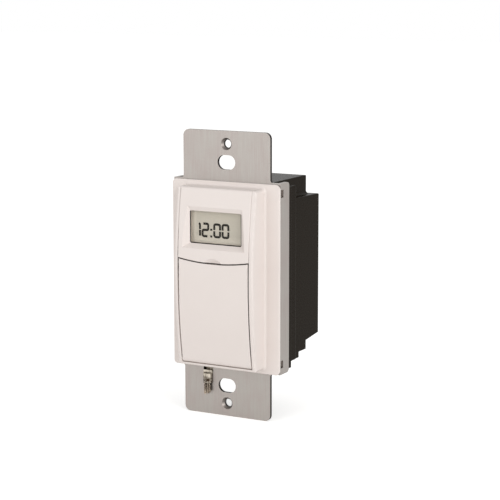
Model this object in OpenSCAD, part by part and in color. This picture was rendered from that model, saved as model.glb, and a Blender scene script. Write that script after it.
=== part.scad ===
// Timer light switch for a wall box: strap, crowned face with a hinged door, display, keys and rear housing.
// Millimetres. X runs right, Y runs into the wall, Z runs up. Y = 0 is the strap's back face, on the wall.

/* [Strap] */
// Thickness of the steel sheet
strap_t = 1.3; // [1.0:0.1:1.6]
// Height over both ears
strap_h = 106.4; // [104:0.2:109]
// Width of the ears
ear_w = 36.2; // [33:0.2:38]
// Corner radius of the ears
ear_r = 2.3; // [1:0.1:4]
// Width over the folded sides
strap_w = 44.4; // [43.6:0.2:47]
// How much taller than the flange the middle part with the folded sides is
mid_more = 0.4; // [0.2:0.1:1]
// Radius of the hollow where an ear meets the middle part
flare_r = 1.1; // [0.8:0.1:2]
// Reach of the folded sides behind the wall plane
fold_y = 5.6; // [4.5:0.1:7]
// Corner radius of the folded sides
fold_r = 1.4; // [0.5:0.1:2]
// Distance between the two wall-plate screw holes
plate_span = 96.84; // [96.4:0.02:97.2]
// Diameter of a wall-plate screw hole
plate_hole_d = 3.0; // [2.6:0.1:3.5]
// Diameter of the funnel round a wall-plate screw hole
funnel_d = 4.5; // [4:0.1:4.8]
// Depth of the funnel
funnel_t = 0.9; // [0.4:0.1:1]
// Diameter of the drawn collar behind a wall-plate screw hole
collar_d = 5.0; // [4.9:0.1:5.6]
// Reach of the collar behind the strap
collar_y = 0.7; // [0.4:0.1:1.2]
// Distance between the two box-screw slots
slot_span = 83.34; // [83:0.02:84]
// Length of a box-screw slot
slot_w = 7.3; // [6:0.1:9]
// Height of a box-screw slot
slot_h = 5.3; // [4.4:0.1:5.8]
// Width of the strap left on each side of its inner opening
side_land = 3.7; // [3.4:0.1:4]
// How much lower than the raised face the strap's inner opening is
win_less = 4.5; // [3.5:0.1:5.5]

/* [Ground lead] */
// Sideways place of the ground lead
lead_x = -8.0; // [-10:0.2:-6]
// Width of the slot that the crimp passes through
lead_slot_w = 4.1; // [4:0.1:5]
// Radius of the crimp barrel
crimp_r = 1.75; // [1.5:0.05:2]
// Length of the crimp barrel
crimp_l = 3.6; // [3:0.1:4.5]
// Sheet thickness of the crimp
crimp_t = 0.4; // [0.3:0.05:0.5]
// Length of the strands below the crimp
strand_l = 4.6; // [3:0.1:6]

/* [Flange and face] */
// Flange left above the raised face and below it
flange_rim = 1.75; // [1.5:0.05:2]
// Thickness of the white flange
flange_t = 0.9; // [0.8:0.1:1.3]
// Corner radius of the flange
flange_r = 1.8; // [1:0.1:3]
// Rounding of the flange's front edge
flange_e = 0.4; // [0.2:0.05:0.5]
// Width of the raised face
face_w = 32.8; // [32.4:0.1:34]
// Height of the raised face
face_h = 66.5; // [66:0.1:67.5]
// Corner radius of the raised face
face_r = 1.2; // [0.8:0.1:2]
// Height of the raised face's middle above the device's middle
face_z = -0.25; // [-0.5:0.05:0.2]
// Rounding of the raised face's edges
face_e = 0.8; // [0.4:0.1:1]
// Radius of the fillet at the foot of the raised face
foot_r = 0.9; // [0.4:0.1:1.2]
// Radius of the crown, about a level axis
crown_r = 190; // [180:2:240]
// Distance from the wall plane to the crown at the face's ends
crown_end_y = 8.97; // [8.8:0.05:9.6]
// How far the frame lies below the door and the display panel
rim_drop = 0.25; // [0.1:0.05:0.4]
// Width of the opening in the frame
opening_w = 29.7; // [29.5:0.1:30]
// Frame left above the opening and below it
frame_end = 0.95; // [0.8:0.05:1.1]

/* [Door] */
// Gap beside the door
door_gap = 0.45; // [0.3:0.05:0.6]
// Gap under the door's pivot barrel
hinge_gap = 0.15; // [0.1:0.05:0.3]
// Thickness of the door
door_t = 1.5; // [1.3:0.1:1.7]
// Rounding of the door's long edges
door_e = 0.35; // [0.2:0.05:0.5]
// Height of the gap above the door, as a share of the raised face's height
door_share = 0.5902; // [0.585:0.001:0.597]
// Radius of the curved gap above the door
door_arc_r = 83; // [70:1:110]
// Width of the gap above the door
door_top_gap = 0.5; // [0.4:0.05:0.6]
// Radius of the door's pivot pins
pin_r = 0.8; // [0.7:0.05:0.9]
// Length of the door's pivot pins
pin_l = 1.0; // [0.9:0.05:1.1]
// Running clearance round a pivot pin
pin_clear = 0.05; // [0.03:0.01:0.08]
// Thickness of the door's inner ribs
rib_t = 0.9; // [0.7:0.1:1.1]

/* [Display] */
// Width of the display window
window_w = 21.5; // [19:0.1:22]
// Height of the display window
window_h = 12; // [11:0.1:12.6]
// Height of the window's middle above the lower end of the display panel's seat
window_up = 9.85; // [9.8:0.05:10.6]
// Width of the bevel round the window
bevel_w = 1.6; // [0.8:0.1:1.8]
// Thickness of the display panel
panel_t = 1.8; // [1.6:0.1:2]
// Gap round the display panel
panel_gap = 0.1; // [0.06:0.02:0.14]
// Thickness of the lens
lens_t = 1.4; // [1.1:0.1:1.5]
// Seat left round the lens
lens_seat = 1.0; // [0.6:0.1:1.2]
// Radius of the thumb scoop's ball
scoop_r = 9; // [8:0.5:12]
// Reach of the scoop above the gap
scoop_z = 2.0; // [1.4:0.1:2.4]

/* [Keys] */
// Width of the on-off key
on_off_w = 21; // [18:0.5:22]
// Height of the on-off key
on_off_h = 5.6; // [5:0.1:6]
// Width of a small key
key_w = 8.6; // [7:0.1:9]
// Height of a small key
key_h = 4.4; // [4:0.1:4.6]
// Sideways place of the small keys
key_x = 6.3; // [6:0.1:6.6]
// Height of the on-off key, as a share of the key panel's height
on_off_share = 0.758; // [0.752:0.002:0.766]
// Height of the upper row of small keys, as a share of the key panel's height
row_1_share = 0.534; // [0.528:0.002:0.542]
// Height of the lower row of small keys, as a share of the key panel's height
row_2_share = 0.342; // [0.338:0.002:0.348]
// Corner radius of the keys
key_r = 0.8; // [0.4:0.1:1.2]
// Rounding of the keys' front edges
key_e = 0.4; // [0.2:0.1:0.5]
// How far a key stands out of the key panel
key_out = 1.2; // [0.9:0.1:1.3]
// Gap round a key
key_gap = 0.25; // [0.15:0.05:0.3]
// Width of a key's inner lip
key_lip = 0.6; // [0.5:0.05:0.7]
// Press travel of a key
key_travel = 0.4; // [0.3:0.05:0.45]
// Diameter of the reset pinhole
reset_d = 1.6; // [1.4:0.1:1.8]

/* [Backup cell] */
// Diameter of the coin cell
cell_d = 20; // [19:0.5:20]
// Thickness of the coin cell
cell_t = 3.2; // [2.5:0.1:3.2]
// Height of the drawer, as a share of the key panel's height
drawer_share = 0.1345; // [0.13:0.0005:0.137]

/* [Rear housing] */
// How far the housing's front steps lie inside the strap's sides
box_in = 0.4; // [0.2:0.05:0.8]
// How far the housing's rear steps lie inside its front shell
box_rear_in = 0.4; // [0.3:0.05:0.8]
// Rear end of the front shell
shell_y = 12.3; // [11:0.1:13]
// How far the front shell's top lies below the top of the folded sides
shell_in = 2.0; // [1.7:0.1:2.3]
// Depth of the rim behind the folded sides
rim_y = 2.3; // [1.8:0.1:2.8]
// Rear end of the first step
step_1_y = 15.6; // [14:0.1:16]
// Rear end of the second step
step_2_y = 21.4; // [21:0.1:22]
// Rear end of the housing
box_y = 31.7; // [30.8:0.1:33]
// How far the rim's ends lie inside the ends of the folded sides
rim_in = 1.0; // [0.8:0.1:1.4]
// Height from the rim's bottom up to the first step's
rise_1 = 2.1; // [1.8:0.1:2.6]
// Height from the first step's bottom up to the second step's
rise_2 = 2.1; // [1.8:0.1:2.5]
// Height from the second step's bottom up to the last step's, at its rear
rise_3 = 4.5; // [4.1:0.1:4.7]
// Slope of the last step's underside
low_draft = 6.5; // [4:0.5:7]
// Height from the hump's top down to the last step's, at its rear
top_drop = 7.1; // [6.9:0.1:7.3]
// Slope of the last step's top
top_draft = 1.3; // [1:0.1:2]
// How far the hump's top lies below the ends of the folded sides
hump_down = 0.2; // [0.1:0.05:0.4]
// How far the hump's sides lie inside the housing's rear steps
hump_in = 3.6; // [3.2:0.1:4]
// Rear end of the hump
hump_y = 28.2; // [27.4:0.1:28.6]
// Radius of the fillet round the hump's foot
hump_foot = 2.0; // [1.4:0.1:2.2]
// Wall thickness of the housing
wall = 1.6; // [1.4:0.1:1.8]
// Rounding of the housing's edges
box_e = 0.6; // [0.4:0.1:1]
// Outer radius of a lead exit's grommet
grommet_r = 2.7; // [2.5:0.1:2.8]
// Radius of a housing screw's shank
screw_r = 1.2; // [1.1:0.05:1.25]
// Radius of a housing screw's head
screw_head_r = 2.2; // [2:0.1:2.3]

/* [Boards] */
// Thickness of a circuit board
board_t = 1.6; // [1.4:0.1:1.6]
// Front face of the mains board
power_y = 9; // [8.6:0.1:9.4]
// Depth of the relay
relay_y = 15.2; // [13:0.1:15.6]
// Radius of the filter capacitor
filter_r = 4; // [3.4:0.1:4]
// Depth of the filter capacitor
filter_y = 13; // [10:0.5:15]

/* [Hidden] */

$fn = 64;
crown_fn = 360;
both = [-1, 1];
over = 1;
half = 0.5;

white_plastic = [0.90, 0.87, 0.85];
zinc_steel = [0.72, 0.70, 0.68];
copper = [0.72, 0.45, 0.28];
tin = [0.70, 0.64, 0.52];
clear_plastic = [0.85, 0.90, 0.88, 0.4];
display_grey = [0.71, 0.69, 0.62];
key_grey = [0.60, 0.61, 0.62];
black_plastic = [0.13, 0.12, 0.11];
board_green = [0.10, 0.35, 0.20];
cell_steel = [0.75, 0.76, 0.78];
brass = [0.80, 0.66, 0.30];

// Strap and flange
strap_win_w = strap_w - 2 * side_land;
flange_out = 0.2;
flange_w = strap_w + 2 * flange_out;
flange_h = face_h + 2 * flange_rim;
mid_h = flange_h + mid_more;
strap_win_h = face_h - win_less;
relief_t = 0.3;
relief_in = 0.6;
fold_in = strap_w / 2 - strap_t;
skirt_gap = 0.2;
skirt_x = fold_in - skirt_gap;
box_x = strap_w / 2 - box_in;
box_rear_x = box_x - box_rear_in;
rim_z = -mid_h / 2 + rim_in;
step_1_z = rim_z + rise_1;
step_2_z = step_1_z + rise_2;
step_3_z = step_2_z + rise_3;
shell_z = mid_h / 2 - shell_in;
hump_x = box_rear_x - hump_in;
hump_z = mid_h / 2 - hump_down;
top_3_z = hump_z - top_drop;

// Crown and frame
crown_y = crown_end_y + crown_r - sqrt(crown_r * crown_r - face_h * face_h / 4);
crown_cy = crown_r - crown_y;
run_share = 0.4;
scoop_share = 0.56;
rim_r = crown_r - rim_drop;
face_top = face_z + face_h / 2;
face_bottom = face_z - face_h / 2;
door_top_z = face_bottom + door_share * face_h;
opening_top = face_top - frame_end;
opening_bottom = face_bottom + frame_end;
ledge = 1.25;
seat_clear = 0.03;
cavity_w = opening_w - 2 * ledge;
flange_front = -strap_t - flange_t;
front_limit = -crown_y - over;
function crown_at(r, z) = crown_cy - sqrt(r * r - (z - face_z) * (z - face_z));

// Door and its pivot
barrel_inset = 0.05;
barrel_r = door_t - barrel_inset;
door_w = opening_w - 2 * door_gap;
hinge_z = opening_bottom + hinge_gap + barrel_r;
hinge_y = crown_at(crown_r - door_t, hinge_z);
door_cut_z = face_z + (hinge_z - face_z) * crown_r / (crown_r - door_t);
rib_y = hinge_y - barrel_inset;
rib_inset = 1.2;
pin_end = 0.1;

// Key panel and keys
key_panel_t = 1.2;
seat_y = hinge_y + barrel_r + door_gap;
key_panel_y = seat_y - key_panel_t;
key_panel_bottom = hinge_z + barrel_r + door_gap;
sill_up = 1.85;
sill_z = door_top_z + sill_up;
sill_t = 0.9;
key_panel_top = sill_z + sill_t;
region_gap = 0.15;
region_z = key_panel_top + region_gap;
window_z = region_z + window_up;
key_panel_h = key_panel_top - key_panel_bottom;
on_off_z = key_panel_bottom + on_off_share * key_panel_h;
row_1_z = key_panel_bottom + row_1_share * key_panel_h;
row_2_z = key_panel_bottom + row_2_share * key_panel_h;
drawer_z = key_panel_bottom + drawer_share * key_panel_h;
key_front = key_panel_y - key_out;
key_rest_gap = 0.1;
lip_y = seat_y + key_rest_gap;
lip_t = 0.55;
stem_r = 1.2;
pad_gap = 0.6;
pad_h = 3;
pad_w = 12;

// Control board stack
key_stack = 4.58;
board_back = seat_y + key_stack;
board_front = board_back - board_t;
board_short = 2;
board_top = opening_top - board_short;
tact_w = 4.2;
tact_h = 3.2;
tact_t = 1.3;
tact_y = board_front - tact_t;
plunger_r = 1.0;
plunger_out = 0.7;
plunger_in = 0.3;
plunger_clear = 0.06;
plunger_y = tact_y - plunger_out;
key_places = [[0, on_off_z], [-key_x, row_1_z], [key_x, row_1_z],
    [-key_x, row_2_z], [key_x, row_2_z], [0, row_2_z]];

// Display stack
lens_w = window_w + 2 * lens_seat;
lens_h = window_h + 2 * lens_seat;
lcd_over = 0.5;
lcd_w = lens_w + 2 * lcd_over;
lcd_front_h = lens_h + 2 * lcd_over;
lcd_ledge = 1.2;
lcd_h = lcd_front_h + 2 * lcd_ledge;
holder_rim = 0.7;
holder_w = lcd_w + 2 * holder_rim;
holder_rim_z = 1.1;
holder_h = lcd_h + 2 * holder_rim_z;
block_rim = 1.1;
block_w = lens_w + 2 * block_rim;
block_h = lens_h + 2 * block_rim;
display_room = 0.65;
display_cavity_w = max(holder_w, block_w) + 2 * display_room;
board_more = 0.25;
head_w = holder_w + 2 * board_more;
board_room = 0.4;
board_w = min(head_w, cavity_w - 2 * board_room);
holder_top = window_z + holder_h / 2;
holder_gap = 0.3;
display_cavity_top = max(opening_top - ledge, holder_top + holder_gap);
lcd_y = crown_at(crown_r - panel_t, holder_top) + panel_gap;
lcd_glass_t = 1.1;
lens_y = lcd_y - lens_t;
bevel_lip = 0.3;
bevel_floor = lens_y - bevel_lip;
window_r = 0.6;
zebra_in = 0.9;
zebra_z = lcd_h / 2 - zebra_in;
zebra_t = 1.6;
zebra_side = 1.3;
zebra_w = lcd_w - 2 * zebra_side;

// Snap hooks of the flange
hook_in = 3.6;
hook_z = flange_h / 2 - hook_in;
hook_h = 2.4;
hook_t = 1.0;
hook_y = 1.7;
hook_gap = 0.2;
barb_out = 0.35;
barb_y0 = -0.6;
barb_y1 = 0.9;
hook_x = fold_in - hook_gap - hook_t;

// Ground lead
lead_drop = 1.9;
lead_slot_z = -mid_h / 2 - lead_drop;
lead_slot_top = -mid_h / 2 - hook_gap;
crimp_gap = 0.5;
crimp_top = lead_slot_z - crimp_gap;
crimp_rise = 0.35;
crimp_y = -strap_t - crimp_rise;
crimp_lap = 0.5;
crimp_seam = 0.35;
strand_share = 0.4;
strand_d = strand_share * (crimp_r - crimp_t);
strand_gap = 0.04;
strand_pitch = strand_d + strand_gap;

// Backup cell
drawer_wall = 1.3;
drawer_w = cell_d + 2 * drawer_wall;
drawer_room = 0.8;
drawer_h = cell_t + 2 * drawer_room;
drawer_floor = 0.8;
drawer_gap = 0.2;
drawer_out = 0.6;
drawer_front = key_panel_y - drawer_out;
holder_wall = 0.8;
cell_in = 1.4;
cell_y = seat_y + cell_d / 2 + cell_in;
cell_rim = 1;
drawer_end = cell_y + cell_d / 2 + drawer_room;
sleeve_w = drawer_w + 2 * drawer_gap + 2 * holder_wall;
sleeve_h = drawer_h + 2 * drawer_gap + 2 * holder_wall;
sleeve_end = drawer_end + drawer_gap + holder_wall;
board_up = 1;
board_bottom = drawer_z + sleeve_h / 2 + board_up;
leaf_t = 0.25;
leaf_share = 0.2;
leaf_w = leaf_share * cell_d;

// Divider and mains board
divider_gap = 0.1;
divider_w = 2 * (skirt_x - wall - divider_gap);
divider_h = 2 * (-rim_z - wall - 2 * divider_gap);
divider_t = 1.6;
post_r = 1.5;
post_side = 2.2;
post_low = 1.8;
post_high = 2.4;
post_x = board_w / 2 - post_side;
post_z = [board_bottom + post_low, board_top - post_high];
tower_r = 2.6;
pilot_clear = 0.02;
pilot_end = 2.2;
power_side = 2.3;
power_w = 2 * (box_rear_x - wall - power_side);
power_up = 2.2;
power_bottom = drawer_z + sleeve_h / 2 + power_up;
power_drop = 9;
power_top = hump_z - power_drop;
power_h = power_top - power_bottom;
tower_side = 2.3;
tower_x = power_w / 2 - tower_side;
tower_low = 3;
tower_high = 3.6;
tower_z = [power_bottom + tower_low, power_top - tower_high];
power_back = power_y + board_t;
pin_count = 8;
pin_pitch = 2.54;
pin_side = 0.64;
header_z = (row_1_z + row_2_z) / 2;
header_t = 2.5;
header_w = pin_count * pin_pitch;
pin_out = 0.5;
chip_w = 9;
chip_t = 1.1;
lead_t = 0.3;
lead_out = 0.8;
crystal_up = 6;
can_w = 7;
can_h = 2.4;
can_t = 1.0;
can_share = 0.42;

// Mains board parts
relay_w = 18.6;
relay_h = 15;
relay_gap = 1.3;
relay_share = 0.7026;
relay_z = power_bottom + relay_share * power_h;
filter_side = 5.1;
filter_x = power_w / 2 - filter_side;
relay_x = filter_x - filter_r - relay_gap - relay_w / 2;
filter_share = 0.6767;
filter_z = power_bottom + filter_share * power_h;
filter_groove = 0.3;
film_w = 13;
film_h = 6;
film_y = 11;
film_x = -8;
row_share = 0.375;
film_z = power_bottom + row_share * power_h;
disc_r = 4.4;
disc_t = 3.4;
disc_foot = 1.2;
disc_leg_r = 0.4;
disc_leg_x = 2.5;
disc_x = 6;
disc_z = film_z;
diode_r = 1.3;
diode_l = 5;
diode_x = [-10.5, -3.5, 3.5, 10.5];
diode_share = 0.2155;
diode_z = power_bottom + diode_share * power_h;
fuse_r = 1.8;
fuse_l = 10;
fuse_side = 2.7;
fuse_x = power_w / 2 - fuse_side;
fuse_down = 4;
fuse_z = film_z - fuse_down;
terminal_bore_r = 0.8;

// Rear housing
rim_y1 = fold_y + rim_y;
rim_e = 0.35;
rim_out = 0.3;
rim_x = box_x + rim_out;
shell_e = 0.7;
hump_sink = 0.15;
end_run = box_y - rim_y1;
end_tall = hump_z - rim_z;
neck_in = 0.6;
neck_r = grommet_r - neck_in;
neck_clear = 0.02;
boss_r = 2.8;
screw_clear = 0.2;
sink_y = 2.0;
screw_head_t = 1.6;
screw_end = 3.2;
drive_r = 0.6 * screw_head_r;
drive_w = 0.6;
drive_t = 0.9;
grommet_x = [-9, -3, 3, 9];
grommet_up = 3.6;
grommet_z = power_bottom + grommet_up;
grommet_t = 0.6;
grommet_bore_r = 1.3;
terminal_r = 1.4;
terminal_t = 4;

// A rounded rectangle about the origin
module rounded_rect(w, h, r) {
    square([w - 2 * r, h], center = true);
    square([w, h - 2 * r], center = true);
    for (sx = both, sy = both)
        translate([sx * (w / 2 - r), sy * (h / 2 - r)])
            circle(r = r);
}

// A flat outline in X and Z, given thickness from y0 to y1
module slab_y(y0, y1) {
    translate([0, y1, 0])
        rotate([90, 0, 0])
            linear_extrude(y1 - y0)
                children();
}

// A flat outline in Y and Z, given a centred width along X
module bar_x(w) {
    translate([-w / 2, 0, 0])
        rotate([90, 0, 90])
            linear_extrude(w)
                children();
}

// A local frame whose Z points to the front, with its floor at y
module front(y) {
    translate([0, y, 0])
        rotate([90, 0, 0])
            children();
}

// A cylinder along X, centred
module rod_x(r, l) {
    rotate([0, 90, 0])
        cylinder(r = r, h = l, center = true);
}

// A cylinder along Y from y0 to y1
module rod_y(r, y0, y1) {
    translate([0, y1, 0])
        rotate([90, 0, 0])
            cylinder(r = r, h = y1 - y0);
}

// A box between two corners
module box(low, high) {
    translate(low)
        cube(high - low);
}

// A slab's end view with two rounded upper corners
module soft_end(w, t, e) {
    translate([-w / 2, 0])
        square([w, t - e]);
    translate([-w / 2 + e, 0])
        square([w - 2 * e, t]);
    for (s = both)
        translate([s * (w / 2 - e), t - e])
            circle(r = e);
}

// A slab with rounded corners and a rounded upper edge
module soft_slab(w, h, t, r, e) {
    intersection() {
        linear_extrude(t)
            rounded_rect(w, h, r);
        rotate([90, 0, 0])
            linear_extrude(h + over, center = true)
                soft_end(w, t, e);
        rotate([90, 0, 90])
            linear_extrude(w + over, center = true)
                soft_end(h, t, e);
    }
}

// A block with rounded edges, half width x, between y0 and y1 and between z0 and z1
module soft_block(x, y0, y1, z0, z1, e) {
    intersection() {
        slab_y(y0, y1)
            translate([0, (z0 + z1) / 2])
                rounded_rect(2 * x, z1 - z0, e);
        bar_x(2 * x + over)
            translate([(y0 + y1) / 2, (z0 + z1) / 2])
                rounded_rect(y1 - y0, z1 - z0, e);
        translate([0, (y0 + y1) / 2, z0 - half])
            linear_extrude(z1 - z0 + over)
                rounded_rect(2 * x, y1 - y0, e);
    }
}

// The corner between a wall and a floor
module fillet_end(r) {
    difference() {
        square(r);
        translate([r, r])
            circle(r = r);
    }
}

// A hollow fillet round the foot of a rounded rectangle
module foot_fillet(w, h, r, f) {
    for (s = [0, 1])
        rotate([0, 0, 180 * s]) {
            translate([w / 2, h / 2 - r, 0])
                rotate([90, 0, 0])
                    linear_extrude(h - 2 * r)
                        fillet_end(f);
            translate([-w / 2 + r, h / 2, 0])
                rotate([90, 0, 90])
                    linear_extrude(w - 2 * r)
                        fillet_end(f);
        }
    for (sx = both, sy = both)
        translate([sx * (w / 2 - r), sy * (h / 2 - r), 0])
            rotate_extrude()
                translate([r, 0])
                    fillet_end(f);
}

// A solid turned about the crown's axis, with rounded long edges
module crown_body(r, w, e) {
    translate([0, crown_cy, face_z])
        rotate([0, 90, 0])
            rotate_extrude($fn = crown_fn) {
                translate([0, -w / 2 + e])
                    square([r, w - 2 * e]);
                translate([0, -w / 2])
                    square([r - e, w]);
                for (s = both)
                    translate([r - e, s * (w / 2 - e)])
                        circle(r = e);
            }
}

// A plain cylinder about the crown's axis
module crown_rod(r, w) {
    translate([0, crown_cy, face_z])
        rotate([0, 90, 0])
            cylinder(r = r, h = w, center = true, $fn = crown_fn);
}

// End view of the raised face: rounded ends that run on straight, in front of a crown of radius r
module face_ends(r) {
    a = asin((face_h / 2 - face_e) / (r - face_e));
    c_y = crown_cy - (r - face_e) * cos(a);
    t_y = crown_cy - r * cos(a);
    t_z = r * sin(a);
    run = face_h * run_share;
    n_y = t_y - run * sin(a);
    n_z = t_z - run * cos(a);
    translate([0, face_z]) {
        polygon([[0, face_h / 2], [c_y, face_h / 2], [c_y, face_h / 2 - face_e], [t_y, t_z], [n_y, n_z],
            [n_y, -n_z], [t_y, -t_z], [c_y, -face_h / 2 + face_e], [c_y, -face_h / 2], [0, -face_h / 2]]);
        for (s = both)
            translate([c_y, s * (face_h / 2 - face_e)])
                circle(r = face_e);
    }
}

// The four places of the flange's snap hooks, with X pointing outwards
module at_hooks() {
    for (sx = both, sz = both)
        translate([0, 0, sz * hook_z])
            rotate([0, 90 * (1 - sx), 0])
                children();
}

// Strap: outline, folded sides, holes
module strap_outline() {
    rounded_rect(ear_w, strap_h, ear_r);
    square([strap_w, mid_h], center = true);
    for (sx = both, sz = both)
        difference() {
            translate([sx * (ear_w + flare_r) / 2, sz * (mid_h + flare_r) / 2])
                square(flare_r, center = true);
            translate([sx * (ear_w / 2 + flare_r), sz * (mid_h / 2 + flare_r)])
                circle(r = flare_r);
        }
}

module fold_outline() {
    translate([-strap_t, -mid_h / 2])
        square([fold_y + strap_t - fold_r, mid_h]);
    translate([-strap_t, -mid_h / 2 + fold_r])
        square([fold_y + strap_t, mid_h - 2 * fold_r]);
    for (s = both)
        translate([fold_y - fold_r, s * (mid_h / 2 - fold_r)])
            circle(r = fold_r);
}

module slot_outline() {
    square([slot_w - slot_h, slot_h], center = true);
    for (s = both)
        translate([s * (slot_w - slot_h) / 2, 0])
            circle(r = slot_h / 2);
}

module yoke() {
    color(zinc_steel)
        difference() {
            union() {
                slab_y(-strap_t, 0)
                    strap_outline();
                for (s = both)
                    translate([s * (strap_w - strap_t) / 2, 0, 0])
                        bar_x(strap_t)
                            fold_outline();
                for (s = both)
                    translate([0, 0, s * plate_span / 2])
                        rod_y(collar_d / 2, -strap_t / 2, collar_y);
            }
            slab_y(-strap_t - over, over)
                rounded_rect(strap_win_w, strap_win_h, ear_r);
            for (s = both) {
                translate([0, 0, s * plate_span / 2]) {
                    rod_y(plate_hole_d / 2, -strap_t - over, collar_y + over);
                    front(-strap_t + funnel_t)
                        cylinder(r1 = plate_hole_d / 2, r2 = funnel_d / 2, h = funnel_t);
                }
                slab_y(-strap_t - over, over)
                    translate([0, s * slot_span / 2])
                        slot_outline();
            }
            at_hooks() {
                box([hook_x - hook_gap, -strap_t - over, -hook_h / 2 - hook_gap],
                    [fold_in, over, hook_h / 2 + hook_gap]);
                box([fold_in - over, barb_y0 - hook_gap, -hook_h / 2 - hook_gap],
                    [strap_w / 2 + over, barb_y1 + hook_gap, hook_h / 2 + hook_gap]);
            }
            box([lead_x - lead_slot_w / 2, -strap_t - over, lead_slot_z],
                [lead_x + lead_slot_w / 2, over, lead_slot_top]);
        }
}

// Ground lead: crimp on the lower ear and bared strands
module crimp_end(r, floor_t) {
    intersection() {
        translate([0, crimp_y])
            circle(r = r);
        translate([-r, crimp_y - r])
            square([2 * r, r + crimp_rise - floor_t]);
    }
}

module ground_crimp() {
    tab_w = lead_slot_w - 2 * hook_gap;
    tab_z = lead_slot_z + hook_gap;
    low = crimp_top - crimp_l;
    color(tin)
        translate([lead_x, 0, 0]) {
            box([-tab_w / 2 - crimp_lap, 0, lead_slot_z - crimp_lap],
                [tab_w / 2 + crimp_lap, crimp_t, lead_slot_top]);
            box([-tab_w / 2, -strap_t - crimp_t, tab_z], [tab_w / 2, crimp_t / 2, tab_z + crimp_t]);
            box([-tab_w / 2, -strap_t - crimp_t, crimp_top - crimp_t],
                [tab_w / 2, -strap_t, tab_z + crimp_t]);
            translate([0, 0, low])
                difference() {
                    linear_extrude(crimp_l)
                        crimp_end(crimp_r, 0);
                    translate([0, 0, -over])
                        linear_extrude(crimp_l + 2 * over)
                            crimp_end(crimp_r - crimp_t, crimp_t);
                    translate([0, crimp_y - crimp_r, -over])
                        cylinder(r = crimp_seam, h = crimp_l + 2 * over);
                }
        }
}

module ground_strands() {
    row_y = -strap_t - crimp_t - strand_gap - strand_d / 2;
    color(copper)
        translate([lead_x, row_y, crimp_top - crimp_l - strand_l]) {
            for (i = [0 : 3])
                translate([(i - 3 / 2) * strand_pitch, 0, 0])
                    cylinder(d = strand_d, h = strand_l + crimp_l);
            for (i = [0 : 2])
                translate([(i - 1) * strand_pitch, -strand_pitch * sin(60), 0])
                    cylinder(d = strand_d, h = strand_l + crimp_l);
        }
}

// White flange with the raised frame
module bezel_hooks() {
    at_hooks() {
        box([hook_x, -strap_t - flange_t / 2, -hook_h / 2], [hook_x + hook_t, hook_y, hook_h / 2]);
        box([hook_x + hook_t - hook_gap, barb_y0, -hook_h / 2], [fold_in + barb_out, barb_y1, hook_h / 2]);
    }
}

module bezel() {
    color(white_plastic)
        difference() {
            union() {
                translate([0, 0, face_z])
                    front(-strap_t)
                        soft_slab(flange_w, flange_h, flange_t, flange_r, flange_e);
                intersection() {
                    slab_y(front_limit, -strap_t)
                        translate([0, face_z])
                            rounded_rect(face_w, face_h, face_r);
                    crown_body(rim_r, face_w, face_e);
                    bar_x(face_w + over)
                        face_ends(rim_r);
                }
                translate([0, 0, face_z])
                    front(flange_front)
                        foot_fillet(face_w, face_h, face_r, foot_r);
                bezel_hooks();
            }
            box([-opening_w / 2, front_limit, opening_bottom], [opening_w / 2, seat_y, region_z]);
            difference() {
                box([-opening_w / 2, front_limit, region_z - over],
                    [opening_w / 2, -strap_t, face_top + over]);
                crown_rod(crown_r - panel_t - seat_clear, opening_w + 2 * over);
            }
            box([-cavity_w / 2, front_limit, key_panel_bottom + ledge],
                [cavity_w / 2, over, region_z + half]);
            box([-display_cavity_w / 2, front_limit, region_z],
                [display_cavity_w / 2, over, display_cavity_top]);
            translate([0, hinge_y, hinge_z])
                rod_x(pin_r + pin_clear, door_w + 2 * pin_l + 2 * pin_end);
            slab_y(-strap_t - relief_t, -strap_t + half)
                translate([0, face_z])
                    difference() {
                        square([flange_w + over, flange_h + over], center = true);
                        rounded_rect(flange_w - 2 * relief_in, flange_h - 2 * relief_in, flange_r);
                    }
        }
}

// Crowned upper panel with the bevelled window and the thumb scoop
module window_bevel() {
    low = window_z - window_h / 2;
    high = window_z + window_h / 2;
    d_low = bevel_floor - crown_at(crown_r, low - bevel_w);
    d_high = bevel_floor - crown_at(crown_r, high + bevel_w);
    d_mid = bevel_floor - crown_at(crown_r, window_z);
    intersection() {
        bar_x(opening_w)
            polygon([[bevel_floor, low], [bevel_floor, high], [bevel_floor - 2 * d_high, high + 2 * bevel_w],
                [bevel_floor - 2 * d_low, low - 2 * bevel_w]]);
        translate([0, 0, low - window_h])
            linear_extrude(3 * window_h)
                polygon([[-window_w / 2, bevel_floor], [window_w / 2, bevel_floor],
                    [window_w / 2 + 2 * bevel_w, bevel_floor - 2 * d_mid],
                    [-window_w / 2 - 2 * bevel_w, bevel_floor - 2 * d_mid]]);
    }
}

module panel_outline() {
    w = opening_w - 2 * panel_gap;
    intersection() {
        translate([-w / 2, 0])
            square([w, face_top]);
        translate([0, door_top_z + door_top_gap / 2 + door_arc_r])
            circle(r = door_arc_r, $fn = crown_fn);
    }
}

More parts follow.
